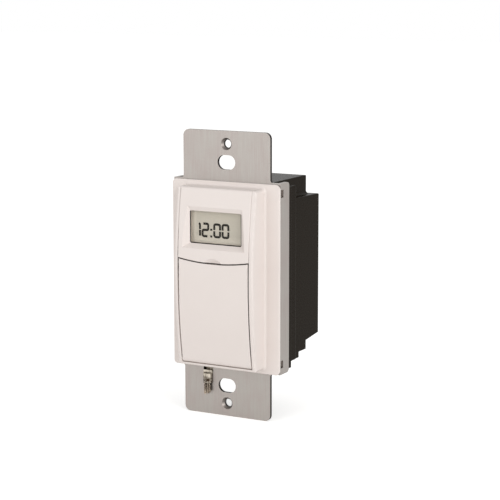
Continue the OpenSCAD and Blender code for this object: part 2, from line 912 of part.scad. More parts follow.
module display_panel() {
    scoop_flat = scoop_r * scoop_share;
    scoop_back = sqrt(scoop_r * scoop_r - scoop_flat * scoop_flat);
    color(white_plastic)
        difference() {
            union() {
                intersection() {
                    difference() {
                        crown_body(crown_r, opening_w - 2 * panel_gap, door_e);
                        crown_rod(crown_r - panel_t, opening_w + over);
                    }
                    slab_y(front_limit, -strap_t)
                        panel_outline();
                    bar_x(opening_w)
                        face_ends(crown_r);
                }
                intersection() {
                    crown_rod(crown_r - panel_t / 2, opening_w);
                    union() {
                        box([-block_w / 2, front_limit, window_z - block_h / 2],
                            [block_w / 2, lcd_y, window_z + block_h / 2]);
                        box([-door_w / 2, front_limit, sill_z], [door_w / 2, key_panel_y, sill_z + sill_t]);
                    }
                }
            }
            window_bevel();
            slab_y(front_limit, lens_y + half)
                translate([0, window_z])
                    rounded_rect(window_w, window_h, window_r);
            slab_y(lens_y, lcd_y + over)
                translate([0, window_z])
                    square([lens_w + 2 * panel_gap, lens_h + 2 * panel_gap], center = true);
            translate([0, crown_at(crown_r, door_top_z) - scoop_back, door_top_z + scoop_z - scoop_flat])
                sphere(r = scoop_r, $fn = 96);
        }
}

module display_window() {
    color(clear_plastic)
        slab_y(lens_y, lcd_y)
            translate([0, window_z])
                square([lens_w, lens_h], center = true);
}

module lcd_glass() {
    color(display_grey)
        translate([0, 0, window_z]) {
            box([-lcd_w / 2, lcd_y, -lcd_front_h / 2], [lcd_w / 2, lcd_y + lcd_glass_t, lcd_front_h / 2]);
            box([-lcd_w / 2, lcd_y + lcd_glass_t, -lcd_h / 2],
                [lcd_w / 2, lcd_y + 2 * lcd_glass_t, lcd_h / 2]);
        }
}

module lcd_holder() {
    color(white_plastic)
        difference() {
            slab_y(lcd_y, board_front)
                translate([0, window_z])
                    rounded_rect(holder_w, holder_h, window_r);
            slab_y(lcd_y - over, lcd_y + 2 * lcd_glass_t)
                translate([0, window_z])
                    square([lcd_w + 2 * panel_gap, lcd_h + 2 * panel_gap], center = true);
            for (s = both)
                slab_y(lcd_y, board_front + over)
                    translate([0, window_z + s * zebra_z])
                        square([zebra_w + 2 * panel_gap, zebra_t + 2 * panel_gap], center = true);
        }
}

module zebra_strips() {
    color(key_grey)
        for (s = both)
            slab_y(lcd_y + 2 * lcd_glass_t, board_front)
                translate([0, window_z + s * zebra_z])
                    square([zebra_w, zebra_t], center = true);
}

// Crowned door with a pivot barrel along its lower edge
module door() {
    pad_y = key_front - pad_gap;
    color(white_plastic) {
        intersection() {
            difference() {
                crown_body(crown_r, door_w, door_e);
                crown_rod(crown_r - door_t, door_w + over);
            }
            slab_y(front_limit, hinge_y + over)
                difference() {
                    translate([-door_w / 2, door_cut_z])
                        square([door_w, door_top_z - door_cut_z + 2 * over]);
                    translate([0, door_top_z - door_top_gap / 2 + door_arc_r])
                        circle(r = door_arc_r, $fn = crown_fn);
                }
        }
        translate([0, hinge_y, hinge_z]) {
            rod_x(barrel_r, door_w);
            rod_x(pin_r, door_w + 2 * pin_l);
        }
        intersection() {
            crown_rod(crown_r - door_t / 2, door_w);
            union() {
                for (s = both)
                    translate([s * (door_w / 2 - rib_inset), 0, 0])
                        box([-rib_t / 2, front_limit, hinge_z], [rib_t / 2, rib_y, door_top_z - over]);
                box([-pad_w / 2, front_limit, on_off_z - pad_h / 2],
                    [pad_w / 2, pad_y, on_off_z + pad_h / 2]);
            }
        }
    }
}

// Plate behind the door, with the keys' openings
module key_panel() {
    color(white_plastic)
        difference() {
            slab_y(key_panel_y, seat_y)
                translate([0, (key_panel_bottom + key_panel_top) / 2])
                    rounded_rect(opening_w - 2 * panel_gap, key_panel_h, window_r);
            slab_y(key_panel_y - over, seat_y + over) {
                translate([0, on_off_z])
                    rounded_rect(on_off_w + 2 * key_gap, on_off_h + 2 * key_gap, key_r);
                for (s = both, z = [row_1_z, row_2_z])
                    translate([s * key_x, z])
                        rounded_rect(key_w + 2 * key_gap, key_h + 2 * key_gap, key_r);
                translate([0, row_2_z])
                    circle(d = reset_d);
                translate([0, drawer_z])
                    square([drawer_w + 2 * drawer_gap, drawer_h + 2 * drawer_gap], center = true);
            }
        }
}

// A key: cap, inner lip and stem
module key(x, z, w, h) {
    translate([x, 0, z]) {
        front(lip_y + lip_t)
            soft_slab(w, h, lip_y + lip_t - key_front, key_r, key_e);
        slab_y(lip_y, lip_y + lip_t)
            rounded_rect(w + 2 * key_lip, h + 2 * key_lip, key_r);
        rod_y(stem_r, lip_y, plunger_y);
    }
}

module on_off_button() {
    color(key_grey)
        key(0, on_off_z, on_off_w, on_off_h);
}

module mode_button() {
    color(key_grey)
        key(-key_x, row_1_z, key_w, key_h);
}

module enter_button() {
    color(key_grey)
        key(key_x, row_1_z, key_w, key_h);
}

module minus_button() {
    color(key_grey)
        key(-key_x, row_2_z, key_w, key_h);
}

module plus_button() {
    color(key_grey)
        key(key_x, row_2_z, key_w, key_h);
}

module reset_button() {
    color(key_grey)
        translate([0, 0, row_2_z]) {
            rod_y(reset_d / 2 - key_gap, seat_y - key_panel_t / 2, plunger_y);
            rod_y(stem_r, lip_y, plunger_y);
        }
}

// A switch's plunger, which moves with its key
module plunger(i) {
    color(black_plastic)
        translate([key_places[i][0], 0, key_places[i][1]])
            rod_y(plunger_r, plunger_y, tact_y + plunger_in);
}

module on_off_plunger() {
    plunger(0);
}

module mode_plunger() {
    plunger(1);
}

module enter_plunger() {
    plunger(2);
}

module minus_plunger() {
    plunger(3);
}

module plus_plunger() {
    plunger(4);
}

module reset_plunger() {
    plunger(5);
}

module tact_switches() {
    color(key_grey)
        for (place = key_places)
            translate([place[0], 0, place[1]])
                difference() {
                    box([-tact_w / 2, tact_y, -tact_h / 2], [tact_w / 2, board_front, tact_h / 2]);
                    rod_y(plunger_r + plunger_clear, tact_y - over,
                        tact_y + plunger_in + key_travel + key_rest_gap);
                }
}

// Backup cell in its drawer
module battery_drawer() {
    floor_z = drawer_z - drawer_h / 2;
    color(white_plastic)
        difference() {
            union() {
                box([-drawer_w / 2, drawer_front, floor_z],
                    [drawer_w / 2, seat_y + key_rest_gap, drawer_z + drawer_h / 2]);
                box([-drawer_w / 2, seat_y, floor_z], [drawer_w / 2, drawer_end, drawer_z]);
            }
            translate([0, cell_y, floor_z + drawer_floor])
                cylinder(d = cell_d + 2 * drawer_gap, h = drawer_h);
            translate([0, drawer_front, drawer_z])
                rod_x(drawer_gap * 3, drawer_w / 2);
        }
}

module coin_cell() {
    color(cell_steel)
        translate([0, cell_y, drawer_z - drawer_h / 2 + drawer_floor]) {
            cylinder(d = cell_d, h = cell_t - leaf_t);
            cylinder(d = cell_d - 2 * cell_rim, h = cell_t);
        }
}

module battery_holder() {
    color(black_plastic)
        difference() {
            slab_y(seat_y, sleeve_end)
                translate([0, drawer_z])
                    square([sleeve_w, sleeve_h], center = true);
            slab_y(seat_y - over, sleeve_end - holder_wall)
                translate([0, drawer_z])
                    square([drawer_w + 2 * drawer_gap, drawer_h + 2 * drawer_gap], center = true);
        }
}

module battery_contacts() {
    roof_z = drawer_z + drawer_h / 2 + drawer_gap;
    cell_top = drawer_z - drawer_h / 2 + drawer_floor + cell_t;
    color(brass)
        for (s = both)
            translate([s * leaf_w, 0, 0])
                bar_x(leaf_w)
                    polygon([[cell_y - leaf_w, roof_z], [cell_y + leaf_w, roof_z],
                        [cell_y + leaf_w, cell_top],
                        [cell_y - leaf_w / 2, cell_top], [cell_y - leaf_w / 2, cell_top + leaf_t],
                        [cell_y + leaf_w - leaf_t, cell_top + leaf_t],
                        [cell_y + leaf_w - leaf_t, roof_z - leaf_t],
                        [cell_y - leaf_w, roof_z - leaf_t]]);
}

// Control board with its parts
module header_places() {
    for (i = [0 : pin_count - 1])
        translate([(i - (pin_count - 1) / 2) * pin_pitch, 0, header_z])
            children();
}

module control_board() {
    color(board_green)
        difference() {
            union() {
                box([-board_w / 2, board_front, board_bottom], [board_w / 2, board_back, board_top]);
                box([-head_w / 2, board_front, region_z + board_room], [head_w / 2, board_back, board_top]);
            }
            header_places()
                rod_y(pin_side, board_front - over, board_back + over);
        }
}

module microcontroller() {
    color(black_plastic)
        translate([0, 0, window_z - over]) {
            box([-chip_w / 2, board_back + lead_t / 2, -chip_w / 2],
                [chip_w / 2, board_back + chip_t, chip_w / 2]);
            box([-chip_w / 2 - lead_out, board_back, -chip_w / 2 + lead_out],
                [chip_w / 2 + lead_out, board_back + lead_t, chip_w / 2 - lead_out]);
            box([-chip_w / 2 + lead_out, board_back, -chip_w / 2 - lead_out],
                [chip_w / 2 - lead_out, board_back + lead_t, chip_w / 2 + lead_out]);
        }
}

module crystal() {
    color(cell_steel)
        translate([0, 0, on_off_z + crystal_up])
            front(board_back + can_t)
                linear_extrude(can_t)
                    rounded_rect(can_w, can_h, can_h * can_share);
}

module header_base() {
    color(black_plastic)
        difference() {
            box([-header_w / 2, board_back, header_z - header_t / 2],
                [header_w / 2, board_back + header_t, header_z + header_t / 2]);
            header_places()
                slab_y(board_back - over, board_back + header_t + over)
                    square(pin_side + 2 * pilot_clear, center = true);
        }
}

module header_pins() {
    color(brass)
        header_places()
            slab_y(board_front - pin_out, power_back + pin_out)
                square(pin_side, center = true);
}

// Insulating plate behind the strap, with posts for both boards
module divider() {
    color(black_plastic)
        difference() {
            union() {
                slab_y(0, divider_t)
                    rounded_rect(divider_w, divider_h, ear_r);
                for (s = both) {
                    for (z = post_z)
                        translate([s * post_x, 0, z])
                            rod_y(post_r, board_back, divider_t);
                    for (z = tower_z)
                        translate([s * tower_x, 0, z])
                            rod_y(tower_r, 0, power_y);
                }
            }
            for (s = both, z = tower_z)
                translate([s * tower_x, 0, z])
                    rod_y(screw_r + pilot_clear, pilot_end, power_y + over);
            box([-header_w / 2 - over, -over, header_z - header_t],
                [header_w / 2 + over, divider_t + over, header_z + header_t]);
            slab_y(-over, divider_t + over)
                translate([0, drawer_z])
                    square([sleeve_w + 2 * panel_gap, sleeve_h + 2 * panel_gap], center = true);
        }
}

// Mains board with its parts
module power_board() {
    color(board_green)
        difference() {
            box([-power_w / 2, power_y, power_bottom], [power_w / 2, power_back, power_top]);
            header_places()
                rod_y(pin_side, power_y - over, power_back + over);
            for (s = both, z = tower_z)
                translate([s * tower_x, 0, z])
                    rod_y(screw_r + screw_clear, power_y - over, power_back + over);
        }
}

module relay() {
    color(key_grey)
        translate([relay_x, 0, relay_z])
            front(power_back + relay_y)
                linear_extrude(relay_y)
                    rounded_rect(relay_w, relay_h, key_r);
}

module filter_capacitor() {
    color(black_plastic)
        translate([filter_x, 0, filter_z])
            difference() {
                rod_y(filter_r, power_back, power_back + filter_y);
                translate([0, power_back + filter_r / 2, 0])
                    rotate([90, 0, 0])
                        rotate_extrude()
                            translate([filter_r + filter_groove, 0])
                                circle(r = 2 * filter_groove);
            }
}

module film_capacitor() {
    color(brass)
        translate([film_x, 0, film_z])
            front(power_back + film_y)
                linear_extrude(film_y)
                    rounded_rect(film_w, film_h, key_r);
}

module varistor() {
    color(brass)
        translate([disc_x, power_back + disc_foot + disc_r, disc_z]) {
            cylinder(r = disc_r, h = disc_t, center = true);
            for (s = both)
                translate([s * disc_leg_x, 0, 0])
                    rod_y(disc_leg_r, -disc_foot - disc_r, 0);
        }
}

module diodes() {
    color(black_plastic)
        for (x = diode_x)
            translate([x, power_back + diode_r, diode_z])
                rod_x(diode_r, diode_l);
}

module fuse_resistor() {
    color(key_grey)
        translate([fuse_x, power_back + fuse_r, fuse_z])
            cylinder(r = fuse_r, h = fuse_l);
}

module lead_terminals() {
    color(brass)
        for (x = grommet_x)
            translate([x, 0, grommet_z])
                difference() {
                    rod_y(terminal_r, power_back, power_back + terminal_t);
                    rod_y(terminal_bore_r, power_back + over, power_back + terminal_t + over);
                }
}

// A convex outline with rounded corners
function unit(v) = v / norm(v);

module rounded_outline(p, r) {
    n = len(p);
    a = [for (i = [0 : n - 1]) unit(p[(i + n - 1) % n] - p[i])];
    b = [for (i = [0 : n - 1]) unit(p[(i + 1) % n] - p[i])];
    c = [for (i = [0 : n - 1]) norm(a[i] + b[i]) / 2];
    s = [for (i = [0 : n - 1]) sqrt(1 - c[i] * c[i])];
    polygon([for (i = [0 : n - 1]) for (d = [a[i], b[i]]) p[i] + d * r * c[i] / s[i]]);
    for (i = [0 : n - 1])
        translate(p[i] + unit(a[i] + b[i]) * r / s[i])
            circle(r = r);
}

// Black stepped housing behind the strap
module housing_end() {
    x = box_rear_x;
    intersection() {
        bar_x(2 * x + over)
            rounded_outline([[rim_y1, step_3_z - end_run * tan(low_draft)],
                [rim_y1, top_3_z + end_run * tan(top_draft)], [box_y, top_3_z], [box_y, step_3_z]], box_e);
        translate([0, (rim_y1 + box_y) / 2, rim_z])
            linear_extrude(end_tall)
                rounded_rect(2 * x, end_run, box_e);
        translate([0, box_y, top_3_z])
            rotate([90 - top_draft, 0, 0])
                translate([0, -end_tall, -end_run])
                    linear_extrude(3 * end_run)
                        soft_end(2 * x, end_tall, box_e);
        translate([0, box_y, step_3_z])
            rotate([90 + low_draft, 0, 0])
                rotate([0, 0, 180])
                    translate([0, -end_tall, -end_run])
                        linear_extrude(3 * end_run)
                            soft_end(2 * x, end_tall, box_e);
    }
}

module housing_hump() {
    difference() {
        soft_block(hump_x, -2 * box_e, hump_y, 0, hump_z, box_e);
        box([-hump_x - over, -3 * box_e, -over], [hump_x + over, 0, hump_z + over]);
    }
    translate([0, box_y, top_3_z])
        rotate([-top_draft, 0, 0])
            translate([0, (hump_y + rim_y1) / 2 - box_y, -hump_sink])
                foot_fillet(2 * (hump_x - hump_sink), hump_y - rim_y1 - 2 * hump_sink, box_e, hump_foot);
}

module housing_outer() {
    slab_y(0, fold_y + rim_e)
        rounded_rect(2 * skirt_x, -2 * rim_z, box_e);
    soft_block(rim_x, fold_y, rim_y1, rim_z, shell_z - rim_e, rim_e);
    soft_block(box_x, fold_y, shell_y, step_1_z, shell_z, shell_e);
    soft_block(box_rear_x, fold_y, step_1_y, step_1_z, 0, box_e);
    soft_block(box_rear_x, rim_y1, step_2_y, step_2_z, 0, box_e);
    housing_end();
    housing_hump();
}

module housing_inner() {
    inner_x = skirt_x - wall;
    rear_x = box_rear_x - wall;
    start_y = rim_y1 - wall - rim_e;
    box([-inner_x, -over, rim_z + wall], [inner_x, fold_y - wall, -rim_z - wall]);
    box([-inner_x, -over, rim_z + wall], [inner_x, rim_y1 - wall, shell_z - wall]);
    box([-rear_x, start_y, step_1_z + wall], [rear_x, shell_y - wall, shell_z - wall]);
    box([-rear_x, start_y, step_1_z + wall], [rear_x, step_1_y - wall, top_3_z - wall]);
    box([-rear_x, start_y, step_2_z + wall], [rear_x, step_2_y - wall, top_3_z - wall]);
    box([-rear_x, start_y, step_3_z + wall], [rear_x, box_y - wall, top_3_z - wall]);
    box([-hump_x + wall, -over, 0], [hump_x - wall, hump_y - wall, hump_z - wall]);
}

module at_towers() {
    for (s = both, z = tower_z)
        translate([s * tower_x, 0, z])
            children();
}

module at_grommets() {
    for (x = grommet_x)
        translate([x, 0, grommet_z])
            children();
}

module rear_housing() {
    color(black_plastic)
        difference() {
            union() {
                difference() {
                    housing_outer();
                    housing_inner();
                }
                at_towers()
                    rod_y(boss_r, power_back, box_y - wall / 2);
            }
            at_towers() {
                rod_y(screw_r + screw_clear, power_back - over, box_y + over);
                rod_y(screw_head_r + screw_clear, box_y - sink_y, box_y + over);
            }
            at_grommets()
                rod_y(neck_r + neck_clear, box_y - wall - over, box_y + over);
            at_hooks()
                box([hook_x - 2 * wall, -over, -hook_h / 2 - 2 * hook_gap],
                    [fold_in + over, hook_y + 2 * hook_gap, hook_h / 2 + 2 * hook_gap]);
        }
}

module lead_grommets() {
    color(key_grey)
        at_grommets()
            difference() {
                union() {
                    rod_y(grommet_r, box_y, box_y + grommet_t);
                    rod_y(neck_r, box_y - wall - grommet_t, box_y + grommet_t);
                    rod_y(grommet_r, box_y - wall - grommet_t, box_y - wall);
                }
                rod_y(grommet_bore_r, box_y - wall - grommet_t - over, box_y + grommet_t + over);
            }
}

module housing_screws() {
    seat = box_y - sink_y;
    color(cell_steel)
        at_towers()
            difference() {
                union() {
                    rod_y(screw_r, screw_end, seat + screw_head_t / 2);
                    rod_y(screw_head_r, seat, seat + screw_head_t);
                }
                for (turn = [0, 90])
                    rotate([0, turn, 0])
                        box([-drive_r, seat + screw_head_t - drive_t, -drive_w / 2],
                            [drive_r, seat + screw_head_t + over, drive_w / 2]);
            }
}

yoke();
ground_crimp();
ground_strands();
bezel();
display_panel();
display_window();
lcd_glass();
lcd_holder();
zebra_strips();
door();
key_panel();
on_off_button();
mode_button();
enter_button();
plus_button();
minus_button();
reset_button();
on_off_plunger();
mode_plunger();
enter_plunger();
plus_plunger();
minus_plunger();
reset_plunger();
tact_switches();
battery_drawer();
coin_cell();
battery_holder();
battery_contacts();
control_board();
microcontroller();
crystal();
header_base();
header_pins();
divider();
power_board();
relay();
filter_capacitor();
film_capacitor();
varistor();
diodes();
fuse_resistor();
lead_terminals();
rear_housing();
lead_grommets();
housing_screws();
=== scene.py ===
"""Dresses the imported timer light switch: finishes, display, key marks, ground strands, studio and camera."""
import logging
import math
from dataclasses import dataclass, field
from enum import Enum
from typing import Any

import bpy
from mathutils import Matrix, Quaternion, Vector


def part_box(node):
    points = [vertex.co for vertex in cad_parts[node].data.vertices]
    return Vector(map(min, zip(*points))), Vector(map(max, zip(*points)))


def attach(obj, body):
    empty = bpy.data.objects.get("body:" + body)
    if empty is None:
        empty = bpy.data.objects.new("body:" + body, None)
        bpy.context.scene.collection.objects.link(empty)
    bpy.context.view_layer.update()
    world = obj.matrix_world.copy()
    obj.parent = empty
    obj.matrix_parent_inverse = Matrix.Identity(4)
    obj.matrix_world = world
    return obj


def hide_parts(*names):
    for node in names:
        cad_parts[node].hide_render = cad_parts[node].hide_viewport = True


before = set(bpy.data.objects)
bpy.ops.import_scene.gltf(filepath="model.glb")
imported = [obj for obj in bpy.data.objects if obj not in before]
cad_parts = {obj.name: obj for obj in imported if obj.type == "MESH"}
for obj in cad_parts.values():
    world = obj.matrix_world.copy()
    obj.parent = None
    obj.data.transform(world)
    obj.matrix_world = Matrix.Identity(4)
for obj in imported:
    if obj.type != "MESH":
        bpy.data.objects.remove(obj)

LOG = logging.getLogger("timer_light_switch")
MM = 0.001
WHITE = "#FFFFFF"
# The values between which most of a noise pattern lies.
NOISE_SPAN = (0.3, 0.7)
# Rays that look for the walls of a hollow.
HOLLOW_RAYS = 8
# Steps in a rounded corner of a stroke.
CORNER_STEPS = 5
# Numbers of sockets whose names repeat in their node: those of a colour mix and of a random number.
FACTOR, FIRST, SECOND, MIXED = 0, 6, 7, 2
LEAST, MOST, DRAWN = 2, 3, 1

Point = tuple[float, float, float]
Sizes = tuple[float, float, float]
Span = tuple[float, float]
Stroke = list[tuple[float, float]]


class Body(Enum):
    """The bodies that the scene's own pieces ride on."""

    SWITCH = "switch_body"
    ON_OFF = "on_off_key"
    MODE = "mode_key"
    ENTER = "enter_key"
    PLUS = "plus_key"
    MINUS = "minus_key"


class Socket(Enum):
    """The kinds of input that the Geometry Nodes trees take."""

    NUMBER = "NodeSocketFloat"
    COUNT = "NodeSocketInt"
    PLACE = "NodeSocketVector"
    FINISH = "NodeSocketMaterial"


def linear(code: str) -> tuple[float, float, float, float]:
    """Turns an sRGB hex colour into linear light.

    Args:
        code: six hex digits, with or without a leading hash.

    Returns:
        Red, green, blue and an alpha of one.
    """
    parts = [int(code.lstrip("#")[i:i + 2], 16) / 255 for i in (0, 2, 4)]
    light = [c / 12.92 if c <= 0.04045 else ((c + 0.055) / 1.055) ** 2.4 for c in parts]
    return (light[0], light[1], light[2], 1.0)


def per_mm(size: float) -> float:
    """Texture scale at which one feature is that many millimetres wide."""
    return 1.0 / (size * MM)


def add(tree: bpy.types.NodeTree, kind: str, inputs: dict | None = None, **settings: Any) -> bpy.types.Node:
    """Adds one node, sets its options, and fills or links its inputs.

    Args:
        tree: the tree that takes the node.
        kind: the node's type name.
        inputs: values or output sockets by input name or number.
        settings: options of the node itself.

    Returns:
        The new node.
    """
    node = tree.nodes.new(kind)
    for name, value in settings.items():
        setattr(node, name, value)
    for name, value in (inputs or {}).items():
        if isinstance(value, bpy.types.NodeSocket):
            tree.links.new(value, node.inputs[name])
        else:
            node.inputs[name].default_value = value
    return node


def blank_material(name: str) -> tuple[bpy.types.Material, bpy.types.NodeTree, bpy.types.NodeSocket]:
    """Starts an empty node material.

    Args:
        name: the material's name.

    Returns:
        The material, its tree, and the Object coordinates that its patterns read.
    """
    material = bpy.data.materials.new(name)
    material.use_nodes = True
    tree = material.node_tree
    tree.nodes.clear()
    return material, tree, add(tree, "ShaderNodeTexCoord").outputs["Object"]


def close_material(tree: bpy.types.NodeTree, shader: bpy.types.Node) -> None:
    """Links a finished shader to the material's output."""
    add(tree, "ShaderNodeOutputMaterial", {"Surface": shader.outputs[0]})


def hollows(tree: bpy.types.NodeTree, reach_mm: float, sky: Span) -> bpy.types.NodeSocket:
    """Finds how deep a spot lies in a hollow.

    Args:
        tree: the material's tree.
        reach_mm: how far off a wall still counts, in millimetres.
        sky: the shares of open sky at which a spot is wholly in a hollow and wholly out of it.

    Returns:
        A socket that is one deep in a hollow and nought on open faces.
    """
    sight = add(tree, "ShaderNodeAmbientOcclusion", {"Distance": reach_mm * MM}, samples=HOLLOW_RAYS)
    deep = add(tree, "ShaderNodeMapRange", {
        "Value": sight.outputs["AO"], "From Min": sky[0], "From Max": sky[1], "To Min": 1.0, "To Max": 0.0})
    return deep.outputs[0]


@dataclass(frozen=True)
class MouldedPlastic:
    """Injection-moulded plastic from a spark-eroded tool: an even satin skin with a soft grain."""

    name: str
    tint: str
    shade: str
    # Colour painted into crevices and gaps as shade.
    crevice_shade: str
    roughness: float
    shine: float = 0.5
    ior: float = 1.5
    # The tool's real grain is near 0.05 mm: it is drawn coarser, so that it shows at arm's length.
    grain_mm: float = 0.45
    grain_detail: float = 2.0
    gloss_swing: float = 0.05
    relief_mm: float = 0.012
    relief_strength: float = 0.35
    cloud_mm: float = 14.0
    cloud_detail: float = 3.0
    # How far off the walls of a crevice may be, and the shares of open sky at which the shade painted in it is
    # full and none.
    crevice_mm: float = 1.5
    crevice_sky: Span = (0.12, 0.48)
    # The way in which the painted crevice shade grows, per millimetre, and the span over which it goes from
    # none to full.
    shade_way: Point = (0.0, 0.0, 0.0)
    shade_span: Span = (0.0, 1.0)
    # The height at which the painted crevice shade ends, and the height over which it fades below that.
    shade_top_mm: float = 0.0
    shade_fade_mm: float = 1.0

    def crevices(self, tree: bpy.types.NodeTree, spot: bpy.types.NodeSocket) -> bpy.types.NodeSocket:
        """Finds the crevices that take painted shade.

        Args:
            tree: the material's tree.
            spot: the Object coordinates.

        Returns:
            A socket that is one deep in a shaded crevice and nought on open faces.
        """
        deep = hollows(tree, self.crevice_mm, self.crevice_sky)
        if not any(self.shade_way):
            return deep
        way = add(tree, "ShaderNodeVectorMath", {0: spot, 1: [share / MM for share in self.shade_way]},
                  operation="DOT_PRODUCT")
        shaded_side = add(tree, "ShaderNodeMapRange", {
            "Value": way.outputs["Value"], "From Min": self.shade_span[0], "From Max": self.shade_span[1]})
        place = add(tree, "ShaderNodeSeparateXYZ", {"Vector": spot})
        below = add(tree, "ShaderNodeMapRange", {
            "Value": place.outputs["Z"], "From Min": (self.shade_top_mm - self.shade_fade_mm) * MM,
            "From Max": self.shade_top_mm * MM, "To Min": 1.0, "To Max": 0.0})
        reach = add(tree, "ShaderNodeMath", {0: shaded_side.outputs[0], 1: below.outputs[0]},
                    operation="MULTIPLY")
        return add(tree, "ShaderNodeMath", {0: deep, 1: reach.outputs[0]}, operation="MULTIPLY").outputs[0]

    def make(self) -> bpy.types.Material:
        """Builds the material: cloudy tint, painted shade in the crevices, grain in gloss and relief.

        Returns:
            The finished material.
        """
        material, tree, spot = blank_material(self.name)
        cloud = add(tree, "ShaderNodeTexNoise", {
            "Vector": spot, "Scale": per_mm(self.cloud_mm), "Detail": self.cloud_detail})
        tone = add(tree, "ShaderNodeMix", {
            FACTOR: cloud.outputs[0], FIRST: linear(self.tint), SECOND: linear(self.shade)}, data_type="RGBA")
        colour = add(tree, "ShaderNodeMix", {
            FACTOR: self.crevices(tree, spot), FIRST: tone.outputs[MIXED],
            SECOND: linear(self.crevice_shade)}, data_type="RGBA")
        grain = add(tree, "ShaderNodeTexNoise", {
            "Vector": spot, "Scale": per_mm(self.grain_mm), "Detail": self.grain_detail})
        gloss = add(tree, "ShaderNodeMapRange", {
            "Value": grain.outputs[0], "From Min": NOISE_SPAN[0], "From Max": NOISE_SPAN[1],
            "To Min": self.roughness - self.gloss_swing, "To Max": self.roughness + self.gloss_swing})
        skin = add(tree, "ShaderNodeBump", {
            "Height": grain.outputs[0], "Strength": self.relief_strength, "Distance": self.relief_mm * MM})
        shader = add(tree, "ShaderNodeBsdfPrincipled", {
            "Base Color": colour.outputs[MIXED], "IOR": self.ior, "Specular IOR Level": self.shine,
            "Roughness": gloss.outputs[0], "Normal": skin.outputs[0]})
        close_material(tree, shader)
        return material


